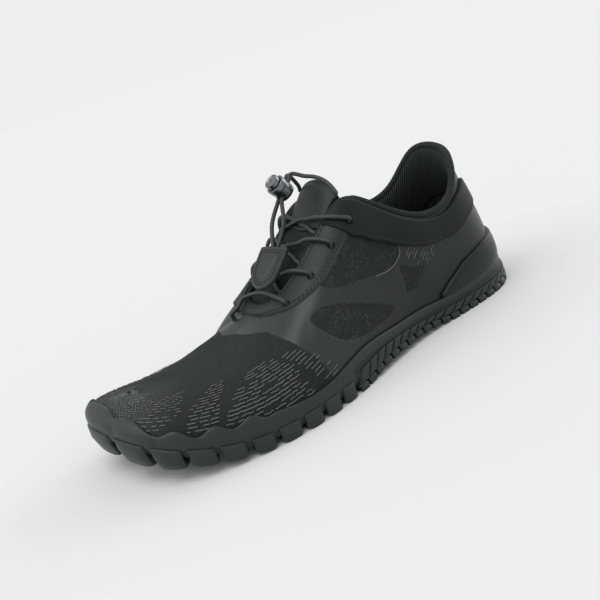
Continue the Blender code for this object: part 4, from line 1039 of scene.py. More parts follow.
def eyelet_stop(number, side):
    """The lace over the rim and its end above the eyelet."""
    cover = BAND_THICKNESS if number == len(EYELETS[side]) - 1 else OVERLAY
    lift = PANEL_GAP + cover + LACE_CLEARANCE + LACE_RADIUS
    first = RIM_CROSSINGS[side][number]
    last = EYELETS[side][number]
    points = []
    for share in (0.1, 0.5, 1.0):
        place = side * (first + (last - first) * share)
        points.append(spot(place, share_at_reach(place, share * EYELET_INSET), lift))
    return points


def eyelet_dive(number, side):
    """The lace down through its eyelet, from just over the hole to under the upper."""
    place = side * EYELETS[side][number]
    return [spot(place, share_at_reach(place, EYELET_INSET + inset), lift) for inset, lift in EYELET_DIVE]


def tongue_way(rows, first, last, side, sag, rise=0.0):
    """Points over the tongue from one rim to the other; rise lifts the middle."""
    points = []
    for share, place, extra in rows:
        station = first + (last - first) * share + sag * (1 - place * place)
        lift = LACE_RADIUS * (1 + extra) + LACE_CLEARANCE + rise * bell(place, 0.0, 0.34)
        points.append(over_tongue(station, side * place, lift))
    return points


def under_rim(number, side):
    """The lace's hidden stretch from below its eyelet to the rim."""
    start = STRAND_STARTS[side][number]
    eyelet = EYELETS[side][number]
    points = []
    for share, lift in UNDER_RIM:
        place = side * (start + (eyelet - start) * share)
        points.append(spot(place, share_at_reach(place, share * EYELET_INSET), lift))
    return points


def strand_route(number, side):
    """From under one rim, over the tongue, through the next eyelet of the other side."""
    way = tongue_way(STRAND, STRAND_STARTS[side][number], RIM_CROSSINGS[-side][number + 1], side, LACE_SAG,
                     STRAND_RISE[side])
    return under_rim(number, side) + way + eyelet_stop(number + 1, -side) + eyelet_dive(number + 1, -side)


def bar_route():
    way = tongue_way(BAR, RIM_CROSSINGS[1][0], RIM_CROSSINGS[-1][0], 1, BAR_SAG)
    return (eyelet_dive(0, 1)[::-1] + eyelet_stop(0, 1)[::-1] + way + eyelet_stop(0, -1) + eyelet_dive(0, -1))


def tab_frame():
    """Middle of the tab's top edge, the way down to its foot and the way across it."""
    top = over_tongue(*TAB_TOP)
    foot = over_tongue(*TAB_FOOT)
    down = (foot - top).normalized()
    level = (Vector((0.0, 1.0, 0.0)) - down * down.y).normalized()
    turn = math.radians(TAB_TURN)
    return top, down, level * math.cos(turn) + down.cross(level) * -math.sin(turn)


def lock_frame():
    """Centre of the slot in the cord lock, the button's axis and the way the laces run through."""
    station, place = LOCK_PLACE
    centre = Vector(crown(station, [place])[0, 0]) + Vector((LOCK_REACH, 0.0, LOCK_RISE))
    tilt = math.radians(LOCK_TILT)
    axis = Vector((math.cos(tilt), 0.0, math.sin(tilt)))
    way = tab_frame()[0] - centre
    way = (way - axis * way.dot(axis)).normalized()
    return centre, axis, way


def lace_end_route(side):
    """Route of one end: from under the top of the collar, over the tongue, through the lock to the tab."""
    centre, axis, way = lock_frame()
    top, down, across = tab_frame()
    points = []
    for station, place, extra in END_OUTER if side > 0 else END_INNER:
        points.append(over_tongue(station, side * place, LACE_RADIUS * (1 + extra) + LACE_CLEARANCE))
    beside = axis.cross(way) * (side * LACE_SPACING / 2)
    points += [centre + beside + way * (LOCK_RADIUS * share) for share in LOCK_SPOTS]
    finish = top - down * (GAP + LACE_RADIUS) + across * (side * LACE_SPACING / 2)
    points.append((points[-1] + finish) / 2 + across * (side * END_BOW))
    points.append(finish)
    return points


def build_lace_ends():
    """The two free ends of the elastic lace."""
    ends = []
    for side, name in ((1, "lateral"), (-1, "medial")):
        route = smooth_path(lace_end_route(side), LACE_END_POINTS)
        bm = joined([cord_tube("end", route)])
        end = piece("lace_end_" + name + "_cord", bm, CORD)
        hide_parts("lace_end_" + name)
        ends.append((end, route))
    return ends


def build_lace():
    """The lace through the eyelets: the bar at the front and three crossings."""
    bm = joined([cord_tube("bar", smooth_path(bar_route(), LACE_POINTS))])
    bar = piece("lace_bar_cord", bm, CORD)
    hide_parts("lace_bar")
    for number in range(len(STRAND_STARTS[1])):
        routes = [smooth_path(strand_route(number, side), LACE_POINTS) for side in (1, -1)]
        bm = joined([cord_tube("strand", route) for route in routes])
        crossing = piece(f"lace_crossing_{number + 1}", bm, CORD)
        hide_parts(f"lace_cross_{number + 1}")


# Upper

def inside_outline(places, shares, outline):
    """Whether points lie in a closed outline of places and shares."""
    inside = np.zeros(shares.shape, bool)
    places = np.broadcast_to(places[:, None], shares.shape)
    for (x1, y1), (x2, y2) in zip(outline, np.roll(outline, -1, axis=0)):
        crosses = (y1 > shares) != (y2 > shares)
        with np.errstate(divide="ignore", invalid="ignore"):
            at = x1 + (shares - y1) / (y2 - y1) * (x2 - x1)
        inside ^= crosses & (places < at)
    return inside


def round_outline(corners, steps=10):
    """A smooth closed outline through its corners."""
    corners = np.asarray(corners, float)
    before, after, far = (np.roll(corners, shift, axis=0) for shift in (1, -1, -2))
    t = np.linspace(0, 1, steps, endpoint=False)[:, None, None]
    curve = 0.5 * (2 * corners + (after - before) * t + (2 * before - 5 * corners + 4 * after - far) * t ** 2
                   + (3 * corners - before - 3 * after + far) * t ** 3)
    return curve.transpose(1, 0, 2).reshape(-1, 2)


def distance_to(points, line):
    """Distance of points to the nearest spot of a line of points."""
    flat = points.reshape(-1, 3)
    nearest = np.full(len(flat), np.inf)
    for spot_on in line:
        nearest = np.minimum(nearest, ((flat - spot_on) ** 2).sum(axis=1))
    return np.sqrt(nearest).reshape(points.shape[:2])


def front_station(shares, side):
    """Station of the film's front edge at shares of the way up one side."""
    levels, lateral, medial = np.array(FILM_FRONT).T
    stations = lateral if side > 0 else medial
    return hermite(levels, stations, np.gradient(stations, levels), np.clip(shares, levels[0], levels[-1]))


def film_distance(places, shares, points):
    """Signed distance into the film, and into its nearest window."""
    heights = np.linspace(0.0, 1.0, 90)
    line = [skin_line(side * front_station(heights, side), heights) for side in (1, -1)]
    front = distance_to(points, np.concatenate(line))
    limit = np.where(places[:, None] >= 0, front_station(shares, 1), front_station(shares, -1))
    film = np.where(np.abs(places)[:, None] < limit, front, -front)
    window = np.full(shares.shape, -1.0)
    for corners in WINDOWS.values():
        for side in (1, -1):
            outline = round_outline(corners) * (side, 1.0)
            reach = distance_to(points, skin_line(outline[:, 0], outline[:, 1]))
            inside = inside_outline(places, shares, outline)
            window = np.maximum(window, np.where(inside, reach, -reach))
    return np.minimum(film, -window), window


# Soft creases of the vamp and quarter: station, share, depth, half width along and half width up, lean
CREASES = (
    (9.35, .80, -.55 * MM, .22, .30, .5), (8.85, .62, .35 * MM, .20, .22, .8),
    (9.75, .55, -.35 * MM, .25, .25, .6), (7.35, .50, -.40 * MM, .22, .10, -.8),
    (6.95, .44, .30 * MM, .30, .08, -.8), (5.0, .40, -.30 * MM, .35, .08, .4),
    (3.3, .40, -.30 * MM, .28, .12, .4), (10.4, .72, .30 * MM, .30, .20, .4))


def crease_lift(places, shares):
    """Lift of the outer face in its creases."""
    lift = np.zeros(shares.shape)
    stations = np.abs(places)[:, None]
    for station, share, depth, along, up, lean in CREASES:
        offset = shares - share
        lift += depth * np.exp(-((stations - station - lean * offset) / along) ** 2 - (offset / up) ** 2)
    return lift


def both_sides(stations):
    """Places from the medial end over the heel to the lateral end."""
    return np.concatenate([-stations[::-1], stations[1:]])


def throat_stations(straight, bend):
    """Stations from the heel to the front end of the throat, closer where the throat is round."""
    start = THROAT_ROUND[1]
    round_end = start + (THROAT_END - start) * np.sin(np.linspace(0.0, math.pi / 2, bend))
    return np.concatenate([np.linspace(0.0, start, straight)[:-1], round_end])


def build_upper():
    """Knit and film shell over the last, open at collar and throat and under the foot."""
    places = both_sides(np.concatenate([throat_stations(190, 42), np.linspace(THROAT_END, LAST, 130)[1:]]))
    shares = np.tile(np.linspace(0.0, 1.0, 50), (len(places), 1))
    base = skin(places, shares)
    film, window = film_distance(places, shares, base)
    toe = (np.clip((np.abs(places)[:, None] - TOE_YARN_START) / 0.9, 0.0, 1.0) ** 1.5
           * np.clip(1.4 - shares, 0.0, 1.0))
    lifts = crease_lift(places, shares) + FILM_STEP * np.clip(film / (0.8 * MM), 0.0, 1.0)
    points = base + face_normals(places, shares) * lifts[..., None]
    ridge = np.abs(places) >= THROAT_END
    points[ridge, -1] = (points[ridge, -1] + points[::-1][ridge, -1]) / 2
    # Painted shade mask: 0 towards the heel, where the film is painted darker, rising to 1 towards the toe
    front = np.clip((np.abs(places)[:, None] - SATIN_SHADE_FADE_START) / 2.4, 0.0, 1.0) + np.zeros_like(shares)
    marks = {"film": film, "window": window, "toe": toe, "front": front}
    bm = joined([laid_grid("upper", points, cloth_uv(places, shares), marks)], outwards=False)
    turn_outwards(bm)
    upper = piece("upper_shell", bm, [UPPER_CLOTH, KNIT_RIB])
    wall = upper.modifiers.new("Wall", "SOLIDIFY")
    wall.thickness = WALL
    wall.offset = -1.0
    wall.use_even_offset = False
    wall.material_offset = 1
    wall.material_offset_rim = 1
    apply_modifiers(upper)
    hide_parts("upper")


def turn_outwards(bm):
    """Turn an open sheet so that its faces look away from the foot."""
    bmesh.ops.recalc_face_normals(bm, faces=bm.faces)
    centre = Vector((0.5 * LENGTH - REST_X, 0.0, 0.3 * INSTEP_HEIGHT))
    total = sum(face.normal.dot(face.calc_center_median() - centre) * face.calc_area() for face in bm.faces)
    if total < 0:
        bmesh.ops.reverse_faces(bm, faces=bm.faces)


def build_rim_roll():
    """Ribbed knit roll round the collar and the throat."""
    places = both_sides(throat_stations(150, 30))
    radii = np.interp(np.abs(places), *np.transpose(ROLL_RADII))
    ups = face_normals(places, np.ones((len(places), 1)))[:, 0]
    centres = skin(places, [1.0])[:, 0] - ups * (0.35 * WALL)
    across = np.cross(unit(np.gradient(centres, axis=0)), ups)
    bm = joined([rings("roll", centres, radii, across, ups, 14, 1.5 * MM)], cap=True)
    piece("collar_roll", bm, KNIT_RIB)


def build_collar_padding():
    """Padded ribbed lining inside the collar, fullest round the heel and fading out towards the tongue."""
    places = np.linspace(-PAD_END, PAD_END, 360)
    t = np.linspace(0.0, 1.0, 30)
    swell = np.sin(math.pi * t ** 0.55) ** 0.8
    fade = np.clip((PAD_END - np.abs(places)) / PAD_FADE, 0.0, 1.0)
    fade = (fade * fade * (3 - 2 * fade))[:, None]
    inner = -(WALL + 0.05 * MM + PAD_SWELL * swell[None] * fade)
    back = np.full((len(places), 6), -0.7 * WALL)
    lengths = column_length(places)[:, None]
    down = np.concatenate([t, np.linspace(1.0, 0.0, 8)[1:-1]]) * PAD_DEPTH
    shares = 1.0 - (0.4 * MM + down[None]) / lengths
    shares = np.concatenate([shares, shares[:, :1]], axis=1)
    lifts = np.concatenate([inner, back, inner[:, :1]], axis=1)
    points = skin(places, shares, lifts)
    bm = joined([laid_grid("padding", points, cloth_uv(places, shares))], cap=True)
    padding = piece("collar_padding", bm, KNIT_RIB)


# Panels

EDGE_STEPS = np.array((0.0, 0.10, 0.30, 0.60, 1.0, 1.5)) * MM
SEAM_DEPTH = 0.50 * MM
SEAM_WIDTH = 0.62 * MM
BAND_SEWN_END = 5.75


def panel_steps(width, middle):
    """Distances across a panel from its lower edge, closer at both edges."""
    edge = EDGE_STEPS * min(1.0, width / (4.5 * MM))
    inner = np.linspace(edge[-1], width - edge[-1], middle + 2)[1:-1]
    return np.concatenate([edge, inner, width - edge[::-1]])


def panel_lift(steps, width, thickness, rounding, seams, puff, taper):
    """Lift of a panel's face, rounded at its edges, with soft troughs along its seams."""
    near = np.minimum(steps / (taper or rounding), (width - steps) / rounding)
    lift = thickness * quarter_round(near)
    for seam in seams:
        lift -= SEAM_DEPTH * bell(steps, seam, SEAM_WIDTH) * min(1.0, width / (8 * MM))
    return lift + puff * np.sin(math.pi * np.clip(steps / width, 0.0, 1.0)) ** 0.8


def panel_section(widths, thickness, rounding, seams=(), far_seams=(), puff=0.0, middle=14, taper=None):
    """Distances, lifts and distance from the edge round a closed panel, a row for each of its widths.

    Seams lie at distances from the lower edge, and far seams at distances from the upper edge.
    """
    steps, lifts = [], []
    for width, own in zip(widths, np.broadcast_to(thickness, widths.shape)):
        lines = list(seams) + [width - seam for seam in far_seams]
        steps.append(panel_steps(width, middle))
        lifts.append(PANEL_GAP + panel_lift(steps[-1], width, own, rounding, lines, puff, taper))
    steps, lifts = np.array(steps), np.array(lifts)
    under = np.stack([widths, widths / 2, np.zeros_like(widths)], axis=1)
    steps = np.concatenate([steps, under, steps[:, :1]], axis=1)
    lifts = np.concatenate([lifts, np.full(under.shape, -UNDER_PANEL), lifts[:, :1]], axis=1)
    return steps, lifts, np.minimum(steps, widths[:, None] - steps)


def share_panel(name, places, edges, finish, slot, node, thickness, rounding, **form):
    """A closed panel on the upper between two edges given as shares."""
    low, high = edges(places)
    lengths = column_length(places)
    widths = np.maximum((high - low) * lengths, 0.2 * MM)
    steps, lifts, edge = panel_section(widths, thickness, rounding, **form)
    shares = low[:, None] + steps / lengths[:, None]
    grid = laid_grid(name, skin(places, shares, lifts), cloth_uv(places, shares), {"edge": edge})
    panel = piece(name, joined([grid], cap=True), finish)
    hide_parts(node)
    return panel


def band_edges(places):
    top = table_reader(BAND_EDGES, 1, HEEL_HEIGHT)(places)
    width = table_reader(BAND_EDGES, 2, BAND_WIDTH)(places)
    return from_rim(places, top + width), from_rim(places, top)


def eased_band_edges(places):
    return [eased(edge) for edge in band_edges(places)]


def build_collar_band(pins):
    """Padded band round the collar, thinner at the heel, with one sewn line along its lower edge."""
    last = BAND_EDGES[-1][0]
    places = np.linspace(-last, last, 420)
    thickness = BAND_THICKNESS * (1 - 0.45 * bell(places, 0.0, 0.9))
    band = share_panel("collar_band_panel", places, eased_band_edges, BAND_LEATHER, "overlay", "collar_band",
                       thickness, 1.5 * MM, seams=(BAND_SEAM,), puff=0.30 * MM)
    cut(band, pins)
    sewn = np.abs(places) < BAND_SEWN_END
    line = (eased_band_edges(places)[0] + BAND_SEAM / column_length(places))[sewn]
    lift = PANEL_GAP + thickness[sewn] - 0.22 * MM
    thread_stitches("collar_band_stitching", [share_line(places[sewn], line, lift)])


def counter_top(places):
    height = table_reader(COUNTER_TOPS, 1, HEEL_HEIGHT)(places)
    return share_at_height(places, height)


def rand_reach(places):
    """Share of the way up the outer face where the rand ends, with the lobes of the forefoot."""
    stations = np.abs(round_ring(places))
    reach = FOOT(round_ring(places))[:, 3] - FEATHER_RISE + LOBE_HEIGHT * lobe_wave(stations)
    return reach / column_length(places)


def lobe_fade(stations):
    """One along the lobes of the forefoot, falling to zero past both ends."""
    rise = (stations - LOBES_FROM[0]) / (LOBES_FROM[1] - LOBES_FROM[0])
    fall = (LOBES_TO[1] - stations) / (LOBES_TO[1] - LOBES_TO[0])
    return np.clip(rise, 0.0, 1.0) * np.clip(fall, 0.0, 1.0)


def lobe_turn(stations):
    return 2 * math.pi * (stations - LOBE_CREST) / LOBE_PITCH


def lobe_wave(stations):
    return lobe_fade(stations) * np.cos(lobe_turn(stations))


def counter_edges(places):
    low = rand_reach(places) - 1.6 * MM / column_length(places)
    return low, np.maximum(eased(counter_top(places)), 1.08 * low)


def build_counter():
    """Moulded shell round the heel, tapered into the rand below."""
    last = COUNTER_TOPS[-1][0]
    share_panel("heel_counter_shell", np.linspace(-last, last, 240), counter_edges, COUNTER_RUBBER, "rubber",
                "heel_counter", COUNTER_THICKNESS - 0.4 * MM, 1.3 * MM, far_seams=(2.0 * MM,), puff=0.4 * MM,
                taper=7 * MM)


def patch_edges(places):
    margin = 0.4 * PATCH_CLEARANCE / column_length(places)
    return counter_top(places) - margin, band_edges(places)[0] + margin


def build_heel_patch():
    """Glossy film up the back of the heel with a raised spine."""
    places = np.linspace(-PATCH_END, PATCH_END, 60)
    share_panel("heel_patch_film", places, patch_edges, GLOSS_LEATHER, "overlay", "heel_patch",
                OVERLAY - 0.2 * MM, 0.8 * MM)
    low, high = (edge[len(places) // 2] for edge in patch_edges(places))
    spine = skin([0.0], np.linspace(low, high, 24), PANEL_GAP + OVERLAY - 0.3 * MM)[0]
    piece("heel_spine", joined([cord_tube("spine", spine, 1.3 * MM)]), GLOSS_LEATHER)


# Eyestay, laid out from the throat's edge

def last_tree():
    """Search tree over the outer face, with the station of each of its faces."""
    places = np.linspace(-LAST, LAST, 721)
    shares = np.linspace(0.0, 1.0, 51)
    points = skin(places, np.tile(shares, (len(places), 1)))
    bm = bmesh.new()
    bmesh.ops.create_grid(bm, x_segments=len(shares) - 1, y_segments=len(places) - 1, size=0.5)
    for vert, point in zip(bm.verts, points.reshape(-1, 3)):
        vert.co = point
    bm.faces.ensure_lookup_table()
    tree = BVHTree.FromBMesh(bm)
    bm.free()
    stations = np.abs(np.repeat((places[:-1] + places[1:]) / 2, len(shares) - 1))
    return tree, stations


TREE, FACE_STATIONS = last_tree()
EYESTAY_ROWS = 300
RAY_STEP = 0.5 * MM
RAY_COUNT = 54


def eyestay_rays():
    """Lines on the outer face, square to the throat's edge: points, normals, and each line's width."""
    run = np.sin(np.linspace(0, math.pi / 2, 260))
    stations = EYESTAY_START + (THROAT_END - EYESTAY_START) * run
    stations[-1] = THROAT_END - 1e-4
    edge = np.concatenate([skin(stations, [1.0])[:, 0], skin(-stations, [1.0])[::-1, 0]])
    edge = even_path(edge, EYESTAY_ROWS)
    ways = unit(np.gradient(edge, axis=0))
    rays = np.empty((EYESTAY_ROWS, RAY_COUNT, 3))
    ups = np.empty_like(rays)
    widths = np.full(EYESTAY_ROWS, RAY_STEP * (RAY_COUNT - 1))
    limit = table_reader(EYESTAY_WIDTHS, 1, EYESTAY_WIDTH)
    for i, start in enumerate(edge):
        here = Vector(start)
        _, up, face, _ = TREE.find_nearest(here)
        out = up.cross(Vector(ways[i])).normalized()
        for k in range(RAY_COUNT):
            rays[i, k] = here
            ups[i, k] = up
            if k and RAY_STEP * k >= limit(FACE_STATIONS[face]):
                widths[i] = min(widths[i], RAY_STEP * k)
            ahead, up, face, _ = TREE.find_nearest(here + out * RAY_STEP)
            out = ((ahead - here) - up * (ahead - here).dot(up)).normalized()
            here = ahead
    rays[:, 1:] = eased(rays[:, 1:], 5)
    return rays, unit(eased(eased(ups), axis=1)), eased(widths, 15)


RAYS, RAY_UPS, RAY_WIDTHS = eyestay_rays()


def on_rays(distances, lifts):
    """Points on the lines from the throat's edge, at distances from it, lifted; and their normals."""
    at = np.clip(distances / RAY_STEP, 0.0, RAY_COUNT - 1.001)
    k = at.astype(int)
    part = (at - k)[..., None]
    rows = np.arange(len(distances))[:, None]
    points = RAYS[rows, k] * (1 - part) + RAYS[rows, k + 1] * part
    ups = unit(RAY_UPS[rows, k] * (1 - part) + RAY_UPS[rows, k + 1] * part)
    return points + ups * lifts[..., None], ups


def build_eyestay(pins):
    """The eyestay round the throat, with holes for the lace and three sewn lines."""
    widths = RAY_WIDTHS - EYESTAY_INSET
    steps, lifts, edge = panel_section(widths, OVERLAY, 0.9 * MM, (EYESTAY_SEAM,), EYESTAY_SEAMS,
                                       puff=0.15 * MM, middle=18)
    points, _ = on_rays(steps + EYESTAY_INSET, lifts)
    uvs = grid_uv(path_run(RAYS[:, 10]), steps)
    bm = joined([laid_grid("eyestay", points, uvs, {"edge": edge})], cap=True)
    eyestay = piece("eyestay_panel", bm, LEATHER)
    cut(eyestay, pins)
    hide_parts("eyestay")
    lines = []
    shown = slice(6, EYESTAY_ROWS - 6)
    distances = [np.full(EYESTAY_ROWS, EYESTAY_INSET + EYESTAY_SEAM)]
    distances += [RAY_WIDTHS - seam for seam in EYESTAY_SEAMS]
    for row in distances:
        lift = np.full((EYESTAY_ROWS, 1), PANEL_GAP + OVERLAY - 0.12 * MM)
        points, ups = on_rays(row[:, None], lift)
        lines.append((points[shown, 0], ups[shown, 0]))
    thread_stitches("eyestay_stitching", lines)


def eyelet_pins():
    """Cutters for the eyelet holes."""
    bm = bmesh.new()
    radius = 1.15 * EYELET_RADIUS
    for side in (1, -1):
        for station in EYELETS[side]:
            place = side * station
            share = share_at_reach(place, EYELET_INSET + 0.6 * MM)
            centre = spot(place, share)
            axis = (spot(place, share, MM) - centre).normalized()
            turn = axis.to_track_quat("Z", "Y").to_matrix().to_4x4()
            bmesh.ops.create_cone(bm, cap_ends=True, segments=28, radius1=radius, radius2=radius,
                                  depth=12 * MM, matrix=Matrix.Translation(centre) @ turn)
    return in_scene("eyelet_pins", as_mesh("eyelet_pins", bm))


def cut(made, cutter):
    """Cut a piece and keep the result."""
    modifier = made.modifiers.new("Cut", "BOOLEAN")
    modifier.operation = "DIFFERENCE"
    modifier.solver = "EXACT"
    modifier.object = cutter
    apply_modifiers(made)


# Tongue and insole

TONGUE_CLOTH_WIDTH = 55 * MM
TONGUE_SEAM_ROW = 25
# The top panel: its stations at the top and at the foot's sides, the bow of its foot, and its seam
PANEL_TOP = 5.22
PANEL_FOOT = 6.18
PANEL_BOW = 0.42
PANEL_SEAM = 2.4 * MM


def tongue_grid(stations, spots):
    """Outer face of the tongue: tucked under both rims, crowned between them."""
    tuck = tongue_values(stations)[0]
    drop = -(WALL + TONGUE_GAP)
    tucks = np.linspace(1.0, 0.1, 7)
    medial = skin(-stations, 1 - tuck[:, None] * tucks / column_length(-stations)[:, None], drop)
    lateral = skin(stations, 1 - tuck[:, None] * tucks[::-1] / column_length(stations)[:, None], drop)
    middle = crown(stations, spots)
    closed = stations >= THROAT_END
    if closed.any():
        top = skin(stations[closed], [1.0], drop)
        start, end = medial[closed][:, -1:], lateral[closed][:, :1]
        t = np.linspace(0, 1, len(spots) + 2)[1:-1][None, :, None]
        middle[closed] = start * (1 - t) + end * t + (top - (start + end) / 2) * 4 * t * (1 - t)
    return np.concatenate([medial, middle, lateral], axis=1)


def grid_normals(points):
    """Normals of a grid of points, turned upwards."""
    ups = unit(np.cross(np.gradient(points, axis=0), np.gradient(points, axis=1)))
    return ups if ups[20, ups.shape[1] // 2, 2] > 0 else -ups


def build_tongue():
    """Padded tongue with a smooth panel sewn on at its top."""
    stations = np.linspace(TONGUE_ROWS[-1][0], TONGUE_ROWS[0][0], 90)
    face = tongue_grid(stations, np.linspace(-1.0, 1.0, 33))
    width = face.shape[1]
    run = path_run(face[:, width // 2])
    uvs = grid_uv(run, np.linspace(-0.5, 0.5, width) * TONGUE_CLOTH_WIDTH)
    seam = 0.35 * MM * bell(run, run[TONGUE_SEAM_ROW], 1.3 * MM)
    face = face - grid_normals(face) * seam[:, None, None]
    bm = joined([laid_grid("tongue", face, uvs)], outwards=False)
    turn_outwards(bm)
    bmesh.ops.solidify(bm, geom=bm.faces[:], thickness=TONGUE_THICKNESS)
    bmesh.ops.recalc_face_normals(bm, faces=bm.faces)
    round_edges(bm, 60, 1.4 * MM, 4)
    tongue = piece("tongue_padding", bm, TONGUE_CLOTH)
    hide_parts("tongue")
    build_tongue_panel()


def build_tongue_panel():
    """Smooth panel on the tongue's top, with a sewn lower edge."""
    spots = np.linspace(-0.93, 0.93, 45)
    stations = np.linspace(5.20, 6.90, 120)
    whole = crown(stations, spots)
    rows = 46
    face = np.empty((rows, len(spots), 3))
    for j, place in enumerate(spots):
        reach = np.linspace(PANEL_TOP, PANEL_FOOT + PANEL_BOW * (1 - place ** 2), rows)
        for k in range(3):
            face[:, j, k] = np.interp(reach, stations, whole[:, j, k])
    ups = grid_normals(face)
    along = path_run(face[:, len(spots) // 2])
    across = path_run(face[20])
    near = np.minimum(np.minimum(along, along[-1] - along)[:, None],
                      np.minimum(across, across[-1] - across)[None])
    lift = 1.0 * MM * quarter_round(near / (1.0 * MM)) - 0.25 * MM * bell(near, PANEL_SEAM, 0.5 * MM)
    back = np.where(near <= 0, 0.05 * MM, -0.4 * MM)
    sheets = [laid_grid("panel", face + ups * height[..., None], grid_uv(along, across), {"edge": near})
              for height in (lift + 0.05 * MM, back)]
    piece("tongue_top_panel", joined(sheets), LEATHER)
    row = np.argmin(np.abs(along[-1] - along - PANEL_SEAM))
    line = face[row] + ups[row] * 0.86 * MM
    thread_stitches("tongue_stitching", [(line[4:-4], ups[row][4:-4])])


def plan_offset(places, offset, heights):
    """Feather line moved outwards in plan by an offset, at a height."""
    places = np.asarray(places, float)
    zero = np.zeros((len(places), 1))
    points = read_columns(columns(places)[0], zero)[:, 0]
    out = normals(places, zero)[:, 0]
    out[:, 2] = 0.0
    points = points + unit(out) * np.reshape(offset, (-1, 1))
    points[:, 2] = heights
    return points


def build_insole():
    stations = np.linspace(0.0, LAST, 120)
    inset = WALL + INSOLE_CLEARANCE
    levels = ((inset + .4 * MM, GAP), (inset, 0.4 * INSOLE_THICKNESS), (inset + .3 * MM, INSOLE_THICKNESS),
              (inset + 1.2 * MM, 1.02 * INSOLE_THICKNESS), (WALL + INSOLE_BEVEL, 0.85 * INSOLE_THICKNESS))
    meshes = []
    halves = []
    for side in (1, -1):
        rows = []
        for offset, height in levels:
            row = plan_offset(side * stations, -offset, 0.0)
            row[:, 2] = underside(row[:, 0] + REST_X) + FEATHER_RISE + height
            rows.append(row)
        grid = np.stack(rows, axis=1)
        halves.append(grid)
        meshes.append(laid_grid("rim", grid, grid[..., :2]))
    for level in (0, -1):
        t = np.linspace(0, 1, 14)[None, :, None]
        flat = halves[0][:, level][:, None] * (1 - t) + halves[1][:, level][:, None] * t
        flat[..., 2] -= 0.3 * MM * np.sin(math.pi * t[..., 0]) * (level == -1)
        meshes.append(laid_grid("flat", flat, flat[..., :2]))
    insole = piece("insole_footbed", joined(meshes), INSOLE_CLOTH)
    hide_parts("insole")


# Outsole

# The rand's section: share of its reach, and its wall outside the upper in wall thicknesses
RAND_OUTSIDE = ((.12, 1.12), (.25, 1.09), (.38, 1.05), (.50, 1.0), (.62, .97), (.74, .94), (.84, .92),
                (.92, .88), (.965, .76), (.99, .58), (1.0, .38))
RAND_INSIDE = ((1.0, .16), (.98, .05), (.90, 0.0), (.70, 0.0), (.40, 0.0), (.12, 0.0))
LOBE_SWELL = 1.5 * MM
POD_FACE = 1.12               # height of a pod's outer face, in feather rises
POD_RISE = 1.7 * MM
POD_ROUNDING = 0.55 * MM
RIB_ROUNDING = 0.35 * MM
RIB_SLANT = 0.22
RIB_ARCH_STATION = 5.6
LUG_ROUNDING = 0.45 * MM
LUG_OUTLINE = np.array(((-0.5, 0.0), (-0.25, -0.5), (0.25, -0.5), (0.5, 0.0), (0.25, 0.5), (-0.25, 0.5)))


def sole_profile(places):
    """Points round the sole's side: under the edge, up the outside, over the rand and down inside the cup."""
    base = underside(plan_offset(places, 0.0, 0.0)[:, 0] + REST_X)
    reach = rand_reach(places)[:, None]
    stations = np.abs(round_ring(places))
    fade = lobe_fade(stations)
    lobes = np.abs(np.cos(lobe_turn(stations) / 2)) ** 0.55 * fade
    below = [plan_offset(places, out * RAND_WALL, base + LUG_DEPTH + up * RAND_WALL)
             for out, up in ((0.2, 0.0), (0.8, 0.25), (1.05, 0.8))]
    below.append(plan_offset(places, GAP + 1.15 * RAND_WALL, base + FEATHER_RISE))
    shares, walls = np.transpose(RAND_OUTSIDE + RAND_INSIDE)
    outside = np.arange(len(shares)) < len(RAND_OUTSIDE)
    bulge = np.sin(math.pi * np.clip(shares / 1.05, 0, 1)) * outside
    lifts = GAP + CUP_EASE * (walls == 0.0) + RAND_WALL * walls
    lifts = lifts[None] + LOBE_SWELL * bulge[None] * (lobes - 0.55 * fade)[:, None]
    side = skin(places, reach * shares, lifts)
    deck = plan_offset(places, GAP + CUP_EASE, base + FEATHER_RISE - GAP)
    return np.concatenate([np.stack(below, axis=1), side, deck[:, None]], axis=1)


def sole_cup():
    """The cupped base: side, underside and deck."""
    places = np.linspace(-LAST, LAST, 721)
    grid = sole_profile(places)
    uvs = grid_uv(path_run(grid[:, 5]), np.linspace(0.0, 30 * MM, grid.shape[1]))
    # Groove mark for painted shade: the rows under the sole's edge and, round the heel and arch, the rows
    # behind the ribs
    groove = np.zeros(grid.shape[:2])
    groove[:, :4] = 1.0
    groove[np.abs(places) < RIB_LAST, 4:8] = 1.0
    meshes = [laid_grid("side", grid, uvs, {"groove": groove})]
    half = len(places) // 2
    for level in (0, -1):
        lateral = grid[half:, level][:, None]
        medial = grid[half::-1, level][:, None]
        t = np.linspace(0, 1, 9)[None, :, None]
        flat = lateral * (1 - t) + medial * t
        meshes.append(laid_grid("flat", flat, flat[..., :2]))
    return joined(meshes)


def lug_sections(places, depth, bulge, height, rise, slant=0.0):
    """Outlines of a lug or rib, cut across the sole's edge; slant shifts the top towards the heel."""
    places = np.asarray(places, float)
    top_places = places - np.sign(places) * np.minimum(np.abs(places), slant)
    base = underside(plan_offset(places, 0.0, 0.0)[:, 0] + REST_X)
    top_base = underside(plan_offset(top_places, 0.0, 0.0)[:, 0] + REST_X)
    inner = plan_offset(places, -depth, 0.0)
    outer = plan_offset(places, bulge, 0.0)
    inner[:, 2] = tread(inner[:, 0] + REST_X)
    outer[:, 2] = tread(outer[:, 0] + REST_X) + rise
    shares = share_at_height(top_places, top_base + height)[:, None]
    face = skin(top_places, shares, GAP + RAND_WALL + 1.3 * RIB_RISE)[:, 0]
    back = skin(top_places, shares, GAP + 0.5 * RAND_WALL)[:, 0]
    root = plan_offset(places, 0.6 * RAND_WALL, base + 0.69 * FEATHER_RISE)
    hidden = inner.copy()
    hidden[:, 2] = underside(inner[:, 0] + REST_X) + 1.17 * LUG_DEPTH
    return inner, outer, face, back, root, hidden


